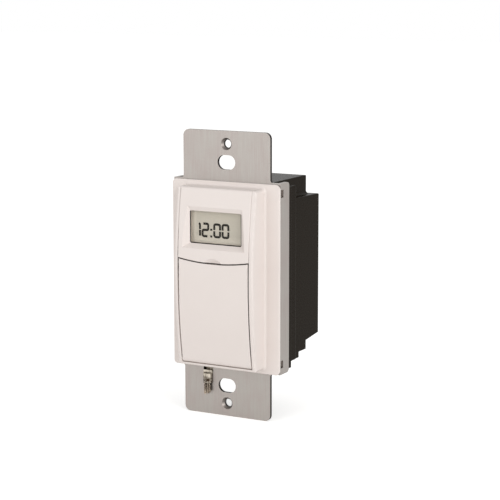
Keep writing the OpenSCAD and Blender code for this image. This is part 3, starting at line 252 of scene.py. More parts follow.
@dataclass(frozen=True)
class SheetMetal:
    """Rolled or drawn metal: long fine streaks along one direction and a cloudy bloom over them."""

    name: str
    tint: str
    bloom: str
    roughness: float
    # Real drawing lines are a few hundredths of a millimetre wide: they are drawn coarser, so that they show.
    streak_mm: Sizes
    bloom_mm: float
    streak_detail: float = 4.0
    bloom_detail: float = 5.0
    bloom_roughness: float = 0.6
    bloom_span: Span = (0.12, 0.4)
    gloss_swing: float = 0.07
    relief_mm: float = 0.004
    relief_strength: float = 0.3
    # Colour painted on cut edges, nearly black as shade on top of the bare steel's own darker tone, the height
    # above or below the middle from which they show it, and how squarely a face may look forwards or backwards
    # to count as one, from wholly to not at all.
    edge_shade_tint: str = ""
    sheared_from_mm: float = 0.0
    sheared_facing: Span = (0.3, 0.8)
    # Colour of the darker band, the heights at which it is full and gone again, and the values of the bloom
    # between which its patches begin.
    band_tint: str = ""
    band_mm: Span = (0.0, 0.0)
    band_patch: Span = (0.35, 0.55)
    # Colour of tarnish in hollows, how far off their walls may be, and the shares of open sky at which it is
    # full and none.
    tarnish: str = ""
    tarnish_mm: float = 1.2
    tarnish_sky: Span = (0.25, 0.85)

    def cut_edge(self, tree: bpy.types.NodeTree, spot: bpy.types.NodeSocket) -> bpy.types.NodeSocket:
        """Finds the cut edges that take the painted shade: faces that look along the sheet, far enough above
        or below the middle.

        Args:
            tree: the material's tree.
            spot: the Object coordinates.

        Returns:
            A socket that is one on a cut edge and nought elsewhere.
        """
        facing = add(tree, "ShaderNodeTexCoord").outputs["Normal"]
        look = add(tree, "ShaderNodeSeparateXYZ", {"Vector": facing})
        flat = add(tree, "ShaderNodeMath", {0: look.outputs["Y"]}, operation="ABSOLUTE")
        edge = add(tree, "ShaderNodeMapRange", {
            "Value": flat.outputs[0], "From Min": self.sheared_facing[0], "From Max": self.sheared_facing[1],
            "To Min": 1.0, "To Max": 0.0})
        place = add(tree, "ShaderNodeSeparateXYZ", {"Vector": spot})
        high = add(tree, "ShaderNodeMath", {0: place.outputs["Z"]}, operation="ABSOLUTE")
        outer = add(tree, "ShaderNodeMath", {0: high.outputs[0], 1: self.sheared_from_mm * MM},
                    operation="GREATER_THAN")
        both = add(tree, "ShaderNodeMath", {0: edge.outputs[0], 1: outer.outputs[0]}, operation="MULTIPLY")
        return both.outputs[0]

    def banded_patches(self, tree: bpy.types.NodeTree, spot: bpy.types.NodeSocket,
                 bloom: bpy.types.NodeSocket) -> bpy.types.NodeSocket:
        """Finds the darker patches between two heights.

        Args:
            tree: the material's tree.
            spot: the Object coordinates.
            bloom: the cloudy pattern that breaks the darker band into patches.

        Returns:
            A socket that is one on a darker patch and nought elsewhere.
        """
        place = add(tree, "ShaderNodeSeparateXYZ", {"Vector": spot})
        near = add(tree, "ShaderNodeMapRange", {
            "Value": place.outputs["Z"], "From Min": self.band_mm[0] * MM, "From Max": self.band_mm[1] * MM,
            "To Min": 1.0, "To Max": 0.0})
        patch = add(tree, "ShaderNodeMapRange", {
            "Value": bloom, "From Min": self.band_patch[0], "From Max": self.band_patch[1]})
        both = add(tree, "ShaderNodeMath", {0: near.outputs[0], 1: patch.outputs[0]}, operation="MULTIPLY")
        return both.outputs[0]

    def make(self) -> bpy.types.Material:
        """Builds the material: bloom in the tint, cut edges painted dark as shade, darker bands and tarnished
        parts, streaks in gloss and relief.

        Returns:
            The finished material.
        """
        material, tree, spot = blank_material(self.name)
        bloom = add(tree, "ShaderNodeTexNoise", {
            "Vector": spot, "Scale": per_mm(self.bloom_mm), "Detail": self.bloom_detail,
            "Roughness": self.bloom_roughness})
        along = add(tree, "ShaderNodeMapping", {
            "Vector": spot, "Scale": [per_mm(size) for size in self.streak_mm]})
        streak = add(tree, "ShaderNodeTexNoise", {
            "Vector": along.outputs[0], "Scale": 1.0, "Detail": self.streak_detail})
        share = add(tree, "ShaderNodeMath", {0: bloom.outputs[0], 1: streak.outputs[0]}, operation="MULTIPLY")
        spread = add(tree, "ShaderNodeMapRange", {
            "Value": share.outputs[0], "From Min": self.bloom_span[0], "From Max": self.bloom_span[1]})
        colour = add(tree, "ShaderNodeMix", {
            FACTOR: spread.outputs[0], FIRST: linear(self.tint),
            SECOND: linear(self.bloom)}, data_type="RGBA")
        layers: list[tuple[bpy.types.NodeSocket, str]] = []
        # Cut edges on the ears are painted nearly black as shade.
        if self.edge_shade_tint:
            layers.append((self.cut_edge(tree, spot), self.edge_shade_tint))
        if self.band_tint:
            layers.append((self.banded_patches(tree, spot, bloom.outputs[0]), self.band_tint))
        if self.tarnish:
            layers.append((hollows(tree, self.tarnish_mm, self.tarnish_sky), self.tarnish))
        for cover, tint in layers:
            colour = add(tree, "ShaderNodeMix", {
                FACTOR: cover, FIRST: colour.outputs[MIXED], SECOND: linear(tint)}, data_type="RGBA")
        gloss = add(tree, "ShaderNodeMapRange", {
            "Value": streak.outputs[0], "From Min": NOISE_SPAN[0], "From Max": NOISE_SPAN[1],
            "To Min": self.roughness - self.gloss_swing, "To Max": self.roughness + self.gloss_swing})
        skin = add(tree, "ShaderNodeBump", {
            "Height": streak.outputs[0], "Strength": self.relief_strength, "Distance": self.relief_mm * MM})
        shader = add(tree, "ShaderNodeBsdfPrincipled", {
            "Base Color": colour.outputs[MIXED], "Metallic": 1.0, "Roughness": gloss.outputs[0],
            "Normal": skin.outputs[0]})
        close_material(tree, shader)
        return material


@dataclass(frozen=True)
class ClearLens:
    """Moulded acrylic window: clear with a faint smoke tint and a few hairline scuffs in its gloss."""

    name: str
    tint: str
    cover: float
    scuff_mm: float
    scuff_detail: float = 6.0
    scuff_span: Span = (0.35, 0.7)
    # Roughness of the clean skin and of a scuff.
    roughness: Span = (0.06, 0.2)
    ior: float = 1.49

    def make(self) -> bpy.types.Material:
        """Builds the material: mostly see-through, with scuffs that break up its gloss.

        Returns:
            The finished material.
        """
        material, tree, spot = blank_material(self.name)
        scuff = add(tree, "ShaderNodeTexNoise", {
            "Vector": spot, "Scale": per_mm(self.scuff_mm), "Detail": self.scuff_detail})
        gloss = add(tree, "ShaderNodeMapRange", {
            "Value": scuff.outputs[0], "From Min": self.scuff_span[0], "From Max": self.scuff_span[1],
            "To Min": self.roughness[0], "To Max": self.roughness[1]})
        shader = add(tree, "ShaderNodeBsdfPrincipled", {
            "Base Color": linear(self.tint), "IOR": self.ior, "Roughness": gloss.outputs[0],
            "Alpha": self.cover})
        close_material(tree, shader)
        return material


@dataclass(frozen=True)
class DisplayGlass:
    """Reflective liquid-crystal cell: warm grey film with a fine sparkle, and paler left and lower rims that
    are painted light, lifting the shade of the window's recess.
    """

    name: str
    tint: str
    upper: str
    # Paler colour painted along the left and lower rims as light, against the shade that the window's recess
    # casts on the cell.
    rim: str
    # The reflector's real sparkle is near 0.05 mm: it is drawn coarser, so that it shows.
    sparkle_mm: float
    view_mm: Span
    middle_mm: Point
    rim_mm: float = 3.2
    left_rim: float = 1.0
    low_rim: float = 0.7
    sparkle_detail: float = 2.0
    # Roughness at the least and the most of the sparkle.
    roughness: Span = (0.4, 0.55)
    ior: float = 1.5

    def near(self, tree: bpy.types.NodeTree, along: bpy.types.NodeSocket, half: float,
             most: float) -> bpy.types.NodeSocket:
        """Finds how near a spot is to the left or lower rim.

        Args:
            tree: the material's tree.
            along: the distance from the middle, in metres.
            half: half the viewing area's size in that direction, in millimetres.
            most: the value at the rim itself.

        Returns:
            A socket that falls from most at the rim to nought, rim_mm away from it.
        """
        fall = add(tree, "ShaderNodeMapRange", {
            "Value": along, "From Min": -half * MM, "From Max": (self.rim_mm - half) * MM,
            "To Min": most, "To Max": 0.0})
        return fall.outputs[0]

    def make(self) -> bpy.types.Material:
        """Builds the material: a slow change of tint over the height, painted light along two rims and a fine
        sparkle.

        Returns:
            The finished material.
        """
        material, tree, spot = blank_material(self.name)
        place = add(tree, "ShaderNodeMapping", {
            "Vector": spot, "Location": [-middle * MM for middle in self.middle_mm]}, vector_type="POINT")
        parts = add(tree, "ShaderNodeSeparateXYZ", {"Vector": place.outputs[0]})
        wide, high = self.view_mm
        rise = add(tree, "ShaderNodeMapRange", {
            "Value": parts.outputs["Z"], "From Min": -high * MM / 2, "From Max": high * MM / 2})
        film = add(tree, "ShaderNodeMix", {
            FACTOR: rise.outputs[0], FIRST: linear(self.tint), SECOND: linear(self.upper)}, data_type="RGBA")
        # Painted light: the left and lower rims are paler, to lift the shade of the window's recess.
        left = self.near(tree, parts.outputs["X"], wide / 2, self.left_rim)
        low = self.near(tree, parts.outputs["Z"], high / 2, self.low_rim)
        edge = add(tree, "ShaderNodeMath", {0: left, 1: low}, operation="MAXIMUM")
        colour = add(tree, "ShaderNodeMix", {
            FACTOR: edge.outputs[0], FIRST: film.outputs[MIXED], SECOND: linear(self.rim)}, data_type="RGBA")
        sparkle = add(tree, "ShaderNodeTexNoise", {
            "Vector": spot, "Scale": per_mm(self.sparkle_mm), "Detail": self.sparkle_detail})
        gloss = add(tree, "ShaderNodeMapRange", {
            "Value": sparkle.outputs[0], "From Min": NOISE_SPAN[0], "From Max": NOISE_SPAN[1],
            "To Min": self.roughness[0], "To Max": self.roughness[1]})
        shader = add(tree, "ShaderNodeBsdfPrincipled", {
            "Base Color": colour.outputs[MIXED], "IOR": self.ior, "Roughness": gloss.outputs[0]})
        close_material(tree, shader)
        return material


@dataclass(frozen=True)
class BoardLaminate:
    """Glass-fibre circuit board under solder mask: a faint weave, and lighter tracks below the lacquer."""

    name: str
    mask: str
    track: str
    track_mm: float = 2.2
    # The distances from a track's middle, in tracks, between which the mask changes to the track's tint.
    track_edge: Span = (0.30, 0.34)
    # One wave of the weave's pattern covers about two of its threads.
    weave_mm: float = 0.6
    weave_wander: float = 1.0
    relief_mm: float = 0.01
    relief_strength: float = 0.2
    roughness: float = 0.32
    ior: float = 1.5

    def make(self) -> bpy.types.Material:
        """Builds the material: square-cornered tracks in the tint, weave in the relief.

        Returns:
            The finished material.
        """
        material, tree, spot = blank_material(self.name)
        tracks = add(tree, "ShaderNodeTexVoronoi", {"Vector": spot, "Scale": per_mm(self.track_mm)},
                     feature="F1", distance="CHEBYCHEV")
        edge = add(tree, "ShaderNodeMapRange", {
            "Value": tracks.outputs["Distance"], "From Min": self.track_edge[0],
            "From Max": self.track_edge[1]})
        colour = add(tree, "ShaderNodeMix", {
            FACTOR: edge.outputs[0], FIRST: linear(self.mask), SECOND: linear(self.track)}, data_type="RGBA")
        weave = add(tree, "ShaderNodeTexWave", {
            "Vector": spot, "Scale": per_mm(self.weave_mm) / math.tau, "Distortion": self.weave_wander})
        skin = add(tree, "ShaderNodeBump", {
            "Height": weave.outputs["Color"], "Strength": self.relief_strength,
            "Distance": self.relief_mm * MM})
        shader = add(tree, "ShaderNodeBsdfPrincipled", {
            "Base Color": colour.outputs[MIXED], "IOR": self.ior, "Roughness": self.roughness,
            "Normal": skin.outputs[0]})
        close_material(tree, shader)
        return material


class Finish(Enum):
    """Every finish on the switch, named for what it is."""

    # Warm white ABS with a satin skin: even, soft highlights, and painted shade in the gaps at the top and
    # right of the door.
    WHITE_ABS = MouldedPlastic("white_abs_satin", "#E9E0DB", "#E5DBD6", "#241E1A", 0.36,
                               shade_way=(0.0676, 0.0, 0.0649), shade_span=(-1.08, -0.58),
                               shade_top_mm=11.5)
    # Grey ABS, more matt than the face: keys, switches, relay and other small mouldings.
    GREY_ABS = MouldedPlastic("grey_abs_keys", "#8E8F90", "#868788", "#4A4A4A", 0.46)
    # Dark brown-black housing resin: satin, with a grey sheen where light grazes it.
    BLACK_RESIN = MouldedPlastic("black_phenolic_housing", "#1F1911", "#1B150E", "#0C0A08", 0.28, shine=0.02)
    # Black inner mouldings, dull: cell holder, divider, plungers, chip.
    BLACK_NYLON = MouldedPlastic("black_nylon_inner", "#1D1D1E", "#19191A", "#0C0C0C", 0.5)
    # Dark conductive rubber of the contact strips, dull and slightly mottled.
    CONTACT_RUBBER = MouldedPlastic("conductive_contact_rubber", "#5A5A5D", "#515154", "#2A2A2C", 0.6,
                                    grain_mm=0.3)
    # Yellow tape film of the mains capacitor and the varistor's lacquer: smooth and fairly glossy.
    FILM_YELLOW = MouldedPlastic("yellow_film_lacquer", "#D9A93A", "#CE9C30", "#7A5C1C", 0.35)
    # Zinc-plated rolled steel: pale warm grey, faint upright rolling lines, broad bloom, cut edges painted
    # dark as shade.
    ZINC_STEEL = SheetMetal("zinc_plated_steel", "#A09C97", "#9D9490", 0.42, (0.35, 0.35, 9.0), 12.0,
                            relief_mm=0.002, edge_shade_tint="#2A2420", sheared_from_mm=35.3, gloss_swing=0.04)
    # Tinned brass crimp: warm silver with darker drawn streaks, brown in its hollows and in darker patches
    # over its lower part.
    TINNED_CRIMP = SheetMetal("tinned_brass_crimp", "#D3CBBE", "#948A7B", 0.40, (0.5, 0.5, 1.2), 0.9,
                              tarnish="#3A2E24", band_tint="#3A2E24", band_mm=(-39.6, -38.2))
    # Bare copper strands: pale where they were rubbed, brown near the crimp and nearly black between them.
    BARE_COPPER = SheetMetal("aged_bare_copper", "#DACBB9", "#625445", 0.42, (0.3, 0.3, 0.9), 0.5,
                             tarnish="#1E1712", tarnish_mm=0.6, band_tint="#2A2019", band_mm=(-42.4, -44.6))
    # Nickel-plated steel of screws, cell and crystal can: bright, with fine turned lines.
    PLATED_STEEL = SheetMetal("nickel_plated_steel", "#C9C8C6", "#B3B1AE", 0.28, (0.25, 2.5, 0.25), 1.6)
    # Drawn brass of terminals, cell contacts and header pins: warm yellow with fine lines.
    BRASS = SheetMetal("drawn_brass", "#C9A55C", "#A8863F", 0.32, (0.25, 2.5, 0.25), 1.2)
    # Clear acrylic lens over the display: nearly invisible, with a soft gloss.
    CLEAR_ACRYLIC = ClearLens("clear_acrylic_lens", "#D8D6CE", 0.03, 1.5)
    # Display cell behind the lens: dull warm grey, with painted light along two of its rims.
    DISPLAY_CELL = DisplayGlass("reflective_display_cell", "#C3BCAE", "#C4BDAE", "#EBE2D2", 0.4,
                                (23.4, 12.0), (0.0, -7.8, 18.5))
    # Display segments that are on, and the dark line on the lens that is painted shade of the window's recess:
    # nearly black, slightly warm.
    DARK_SEGMENT = MouldedPlastic("dark_display_segment", "#1B1914", "#221F19", "#121110", 0.55, shine=0.1,
                                  grain_mm=0.3)
    # Green circuit board under solder mask: smooth, with lighter tracks.
    GREEN_BOARD = BoardLaminate("green_solder_mask_board", "#1F5A36", "#2C7A4A")

    @property
    def material(self) -> bpy.types.Material:
        """The finish's material, made on first use."""
        return bpy.data.materials.get(self.value.name) or self.value.make()


Finishes = dict[Finish, tuple[str, ...]]


def grown(name: str, tree: bpy.types.NodeTree, seed: bpy.types.Mesh,
          values: dict[str, Any]) -> bpy.types.Object:
    """Runs a Geometry Nodes tree on a mesh and keeps the result as a plain mesh object.

    Args:
        name: the piece's name.
        tree: the Geometry Nodes tree.
        seed: the mesh that the tree starts from.
        values: the tree's inputs by name.

    Returns:
        The finished object, at the origin and without modifiers.
    """
    maker = bpy.data.objects.new(name + "_maker", seed)
    bpy.context.scene.collection.objects.link(maker)
    nodes = maker.modifiers.new("grow", "NODES")
    nodes.node_group = tree
    for item in tree.interface.items_tree:
        if item.item_type == "SOCKET" and item.in_out == "INPUT" and item.name in values:
            nodes[item.identifier] = values[item.name]
    depsgraph = bpy.context.evaluated_depsgraph_get()
    mesh = bpy.data.meshes.new_from_object(maker.evaluated_get(depsgraph), depsgraph=depsgraph)
    maker.modifiers.remove(nodes)
    bpy.data.objects.remove(maker)
    mesh.name = name
    piece = bpy.data.objects.new(name, mesh)
    bpy.context.scene.collection.objects.link(piece)
    LOG.info("%s has %d faces", name, len(mesh.polygons))
    return piece


def new_tree(name: str, **inputs: Socket) -> tuple[bpy.types.NodeTree, bpy.types.Node]:
    """Starts a Geometry Nodes tree with named inputs.

    Args:
        name: the tree's name.
        inputs: the kind of each input, by its name.

    Returns:
        The tree and its group input node.
    """
    tree = bpy.data.node_groups.new(name, "GeometryNodeTree")
    tree.interface.new_socket("Geometry", in_out="INPUT", socket_type="NodeSocketGeometry")
    for label, kind in inputs.items():
        tree.interface.new_socket(label, in_out="INPUT", socket_type=kind.value)
    tree.interface.new_socket("Geometry", in_out="OUTPUT", socket_type="NodeSocketGeometry")
    return tree, add(tree, "NodeGroupInput")


def close_tree(tree: bpy.types.NodeTree, shape: bpy.types.NodeSocket, paint: bpy.types.NodeSocket) -> None:
    """Ends a tree in Realize Instances and Set Material.

    Args:
        tree: the Geometry Nodes tree.
        shape: the finished geometry.
        paint: the material that it takes.
    """
    real = add(tree, "GeometryNodeRealizeInstances", {"Geometry": shape})
    painted = add(tree, "GeometryNodeSetMaterial", {"Geometry": real.outputs[0], "Material": paint})
    add(tree, "NodeGroupOutput", {"Geometry": painted.outputs[0]})


def stroke_tree() -> bpy.types.NodeTree:
    """Tree that turns flat polylines into bars of a given width and depth, rounded at their bends.

    Returns:
        The tree, made on first use.
    """
    found = bpy.data.node_groups.get("rounded_strokes")
    if found:
        return found
    tree, given = new_tree("rounded_strokes", Width=Socket.NUMBER, Depth=Socket.NUMBER,
                           Corner=Socket.NUMBER, Finish=Socket.FINISH)
    path = add(tree, "GeometryNodeMeshToCurve", {"Mesh": given.outputs["Geometry"]})
    bent = add(tree, "GeometryNodeFilletCurve", {
        "Curve": path.outputs[0], "Radius": given.outputs["Corner"], "Count": CORNER_STEPS,
        "Limit Radius": True}, mode="POLY")
    upright = add(tree, "GeometryNodeSetCurveNormal", {
        "Curve": bent.outputs[0], "Normal": (0.0, -1.0, 0.0)}, mode="FREE")
    section = add(tree, "GeometryNodeCurvePrimitiveQuadrilateral", {
        "Width": given.outputs["Depth"], "Height": given.outputs["Width"]})
    bars = add(tree, "GeometryNodeCurveToMesh", {
        "Curve": upright.outputs[0], "Profile Curve": section.outputs[0], "Fill Caps": True})
    close_tree(tree, bars.outputs[0], given.outputs["Finish"])
    return tree


def polylines(name: str, strokes: list[Stroke], depth_y: float) -> bpy.types.Mesh:
    """Makes a mesh of upright polylines.

    Args:
        name: the mesh's name.
        strokes: points as X and Z in millimetres, one list for each stroke.
        depth_y: the plane that they lie in, in millimetres.

    Returns:
        A mesh of vertices and edges.
    """
    points: list[Point] = []
    edges: list[tuple[int, int]] = []
    for stroke in strokes:
        first = len(points)
        points += [(x * MM, depth_y * MM, z * MM) for x, z in stroke]
        edges += [(i, i + 1) for i in range(first, len(points) - 1)]
    mesh = bpy.data.meshes.new(name)
    mesh.from_pydata(points, edges, [])
    return mesh


@dataclass
class SubAssembly:
    """A group of pieces that are built and dressed together."""

    finishes: Finishes

    def build(self) -> None:
        """Makes the group's own meshes: none, unless a group says otherwise."""

    def dress(self) -> None:
        """Gives the group's CAD nodes their finishes."""
        for finish, names in self.finishes.items():
            for name in names:
                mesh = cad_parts[name].data
                mesh.materials.clear()
                mesh.materials.append(finish.material)
                LOG.info("%s is dressed in %s", name, finish.value.name)


@dataclass
class Strap(SubAssembly):
    """Steel mounting strap with the ground lead's crimp and its bare strands."""

    finishes: Finishes = field(default_factory=lambda: {
        Finish.ZINC_STEEL: ("yoke",), Finish.TINNED_CRIMP: ("ground_crimp",)})
    strands: int = 14
    # A strand's radius and the sides of its section.
    strand_mm: float = 0.19
    sides: int = 8
    # How far outwards a strand leans, as a share of its place in the bundle, over this much fall.
    splay: float = 0.06
    fall_mm: float = 1.0
    # The shares of the bundle's length between which the strands end.
    reach: Span = (0.82, 1.0)
    seed: int = 7

    def strand_tree(self) -> bpy.types.NodeTree:
        """Tree that fans a bundle of thin strands out of the crimp, set as the seeds of a sunflower are.

        Returns:
            The tree.
        """
        tree, given = new_tree("strand_bundle", Count=Socket.COUNT, Half=Socket.PLACE, Strand=Socket.NUMBER,
                               Length=Socket.NUMBER, Splay=Socket.NUMBER, Seed=Socket.COUNT,
                               Origin=Socket.PLACE, Finish=Socket.FINISH)
        index = add(tree, "GeometryNodeInputIndex")
        share = add(tree, "ShaderNodeMath", {0: index.outputs[0], 1: given.outputs["Count"]},
                    operation="DIVIDE")
        root = add(tree, "ShaderNodeMath", {0: share.outputs[0]}, operation="SQRT")
        turn = add(tree, "ShaderNodeMath", {0: index.outputs[0], 1: math.pi * (3 - math.sqrt(5))},
                   operation="MULTIPLY")
        cos = add(tree, "ShaderNodeMath", {0: turn.outputs[0]}, operation="COSINE")
        sin = add(tree, "ShaderNodeMath", {0: turn.outputs[0]}, operation="SINE")
        x = add(tree, "ShaderNodeMath", {0: root.outputs[0], 1: cos.outputs[0]}, operation="MULTIPLY")
        y = add(tree, "ShaderNodeMath", {0: root.outputs[0], 1: sin.outputs[0]}, operation="MULTIPLY")
        disc = add(tree, "ShaderNodeCombineXYZ", {"X": x.outputs[0], "Y": y.outputs[0]})
        flat = add(tree, "ShaderNodeVectorMath", {0: disc.outputs[0], 1: given.outputs["Half"]},
                   operation="MULTIPLY")
        place = add(tree, "ShaderNodeVectorMath", {0: flat.outputs[0], 1: given.outputs["Origin"]},
                    operation="ADD")
        dots = add(tree, "GeometryNodePoints", {
            "Count": given.outputs["Count"], "Position": place.outputs[0]})
        spine = add(tree, "GeometryNodeCurvePrimitiveLine", {
            "Start": (0.0, 0.0, 0.0), "End": (0.0, 0.0, -1.0)})
        ring = add(tree, "GeometryNodeCurvePrimitiveCircle", {"Resolution": self.sides, "Radius": 1.0})
        rod = add(tree, "GeometryNodeCurveToMesh", {
            "Curve": spine.outputs[0], "Profile Curve": ring.outputs[0], "Fill Caps": True})
        swing = add(tree, "ShaderNodeVectorMath", {0: flat.outputs[0], "Scale": given.outputs["Splay"]},
                    operation="SCALE")
        ends = add(tree, "FunctionNodeRandomValue", {
            LEAST: self.reach[0], MOST: self.reach[1], "Seed": given.outputs["Seed"]}, data_type="FLOAT")
        long = add(tree, "ShaderNodeMath", {0: ends.outputs[DRAWN], 1: given.outputs["Length"]},
                   operation="MULTIPLY")
        size = add(tree, "ShaderNodeCombineXYZ", {
            "X": given.outputs["Strand"], "Y": given.outputs["Strand"], "Z": long.outputs[0]})
        lean = add(tree, "ShaderNodeVectorMath", {0: swing.outputs[0], 1: (0.0, 0.0, self.fall_mm * MM)},
                   operation="SUBTRACT")
        back = add(tree, "ShaderNodeVectorMath", {0: lean.outputs[0], "Scale": -1.0}, operation="SCALE")
        aim = add(tree, "FunctionNodeAlignRotationToVector", {"Vector": back.outputs[0]}, axis="Z")
        many = add(tree, "GeometryNodeInstanceOnPoints", {
            "Points": dots.outputs[0], "Instance": rod.outputs[0], "Rotation": aim.outputs[0],
            "Scale": size.outputs[0]})
        close_tree(tree, many.outputs[0], given.outputs["Finish"])
        return tree

    def build(self) -> None:
        """Makes the ground strands in the place of the CAD bundle."""
        low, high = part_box("ground_strands")
        middle = (low + high) / 2
        radius = self.strand_mm * MM
        piece = grown("ground_strand_bundle", self.strand_tree(), bpy.data.meshes.new("strand_seed"), {
            "Count": self.strands, "Strand": radius, "Length": high.z - low.z, "Splay": self.splay,
            "Half": ((high.x - low.x) / 2 - radius, (high.y - low.y) / 2 - radius, 0.0),
            "Origin": (middle.x, middle.y, high.z), "Seed": self.seed,
            "Finish": Finish.BARE_COPPER.material})
        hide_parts("ground_strands")
        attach(piece, Body.SWITCH.value)


@dataclass
class Face(SubAssembly):
    """White crowned face: frame, display panel and door."""

    finishes: Finishes = field(default_factory=lambda: {
        Finish.WHITE_ABS: ("bezel", "display_panel", "door")})


@dataclass
class Display(SubAssembly):
    """Clock display: clear lens with a dark line of painted shade along its edge, grey cell, and four dark
    digits with a colon.
    """

    finishes: Finishes = field(default_factory=lambda: {
        Finish.CLEAR_ACRYLIC: ("display_window",), Finish.DISPLAY_CELL: ("lcd_glass",),
        Finish.WHITE_ABS: ("lcd_holder",), Finish.CONTACT_RUBBER: ("zebra_strips",)})
    stroke_mm: float = 0.86
    film_mm: float = 0.04
    corner_mm: float = 0.62
    half_w: float = 1.2
    half_h: float = 2.3
    break_mm: float = 0.22
    middle_z: float = 17.4
    pitch: float = 3.46
    last_x: float = 3.24
    two_x: float = -5.16
    # Where the two's first and last strokes end, as a share of its half width.
    two_end: float = 0.7
    # Where the one's flag starts and bends, as shares of the half width and half height, and the one's share
    # of the break.
    flag: Span = (0.6, 0.85)
    one_break: float = 0.7
    colon_x: float = -2.70
    colon_z: Span = (17.62, 15.15)
    colon_side: float = 0.75
    window_mm: Span = (21.5, 12.0)
    # Width and thickness of the dark line on the lens that paints the shade of the window's recess.
    shade_line_mm: float = 0.36
    shade_line_film_mm: float = 0.02

    def zero(self, x: float) -> list[Stroke]:
        """Strokes of a nought: an upper and a lower arch with a break at mid height."""
        w, h, b, z = self.half_w, self.half_h, self.break_mm, self.middle_z
        return [[(x - w, z + s * b), (x - w, z + s * h), (x + w, z + s * h), (x + w, z + s * b)]
                for s in (1, -1)]

    def two(self, x: float) -> list[Stroke]:
        """Strokes of a two: one line that bends at four rounded corners."""
        w, h, e, z = self.half_w, self.half_h, self.two_end * self.half_w, self.middle_z
        return [[(x - e, z + h), (x + w, z + h), (x + w, z), (x - w, z), (x - w, z - h), (x + e, z - h)]]

    def one(self, x: float) -> list[Stroke]:
        """Strokes of a one: two upright bars, the upper with a short flag."""
        w, h, b, z = self.half_w, self.half_h, self.one_break * self.break_mm, self.middle_z
        return [[(x + self.flag[0] * w, z + h), (x + w, z + self.flag[1] * h), (x + w, z + b)],
                [(x + w, z - b), (x + w, z - h)]]

    def colon(self, x: float) -> list[Stroke]:
        """Strokes of the colon: two short dots."""
        return [[(x, z + self.colon_side / 2), (x, z - self.colon_side / 2)] for z in self.colon_z]

    def mask(self) -> list[Stroke]:
        """Strokes of the dark line on the lens, painted shade of the window's recess drawn as print, just
        inside the window's sides and lower edge.

        Returns:
            One polyline as X and Z in millimetres.
        """
        low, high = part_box("display_window")
        middle = (low + high) / 2 / MM
        w, h = (size / 2 - self.shade_line_mm / 2 for size in self.window_mm)
        x, z = middle.x, middle.z
        return [[(x - w, z + h), (x - w, z - h), (x + w, z - h), (x + w, z + h)]]

    def film(self, name: str, lines: bpy.types.Mesh, sizes_mm: Sizes) -> None:
        """Makes one dark film that stays with the switch's body.

        Args:
            name: the piece's name.
            lines: the polylines that it follows.
            sizes_mm: its width, its depth and the radius of its bends, in millimetres.
        """
        width, depth, corner = (size * MM for size in sizes_mm)
        piece = grown(name, stroke_tree(), lines, {
            "Width": width, "Depth": depth, "Corner": corner, "Finish": Finish.DARK_SEGMENT.material})
        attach(piece, Body.SWITCH.value)

    def build(self) -> None:
        """Makes the dark line of painted shade on the front of the lens and the digits on the front of the
        cell.
        """
        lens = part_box("display_window")[0].y / MM - self.shade_line_film_mm / 2
        # Painted shade: a dark line on the lens along the window's sides and lower edge.
        self.film("lens_edge_shade_line", polylines("shade_line_strokes", self.mask(), lens),
                  (self.shade_line_mm, self.shade_line_film_mm, self.shade_line_mm))
        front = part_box("lcd_glass")[0].y / MM
        strokes = self.one(self.two_x - self.pitch) + self.two(self.two_x) + self.colon(self.colon_x)
        strokes += self.zero(self.last_x - self.pitch) + self.zero(self.last_x)
        self.film("clock_digits", polylines("digit_lines", strokes, front),
                  (self.stroke_mm, self.film_mm, self.corner_mm))


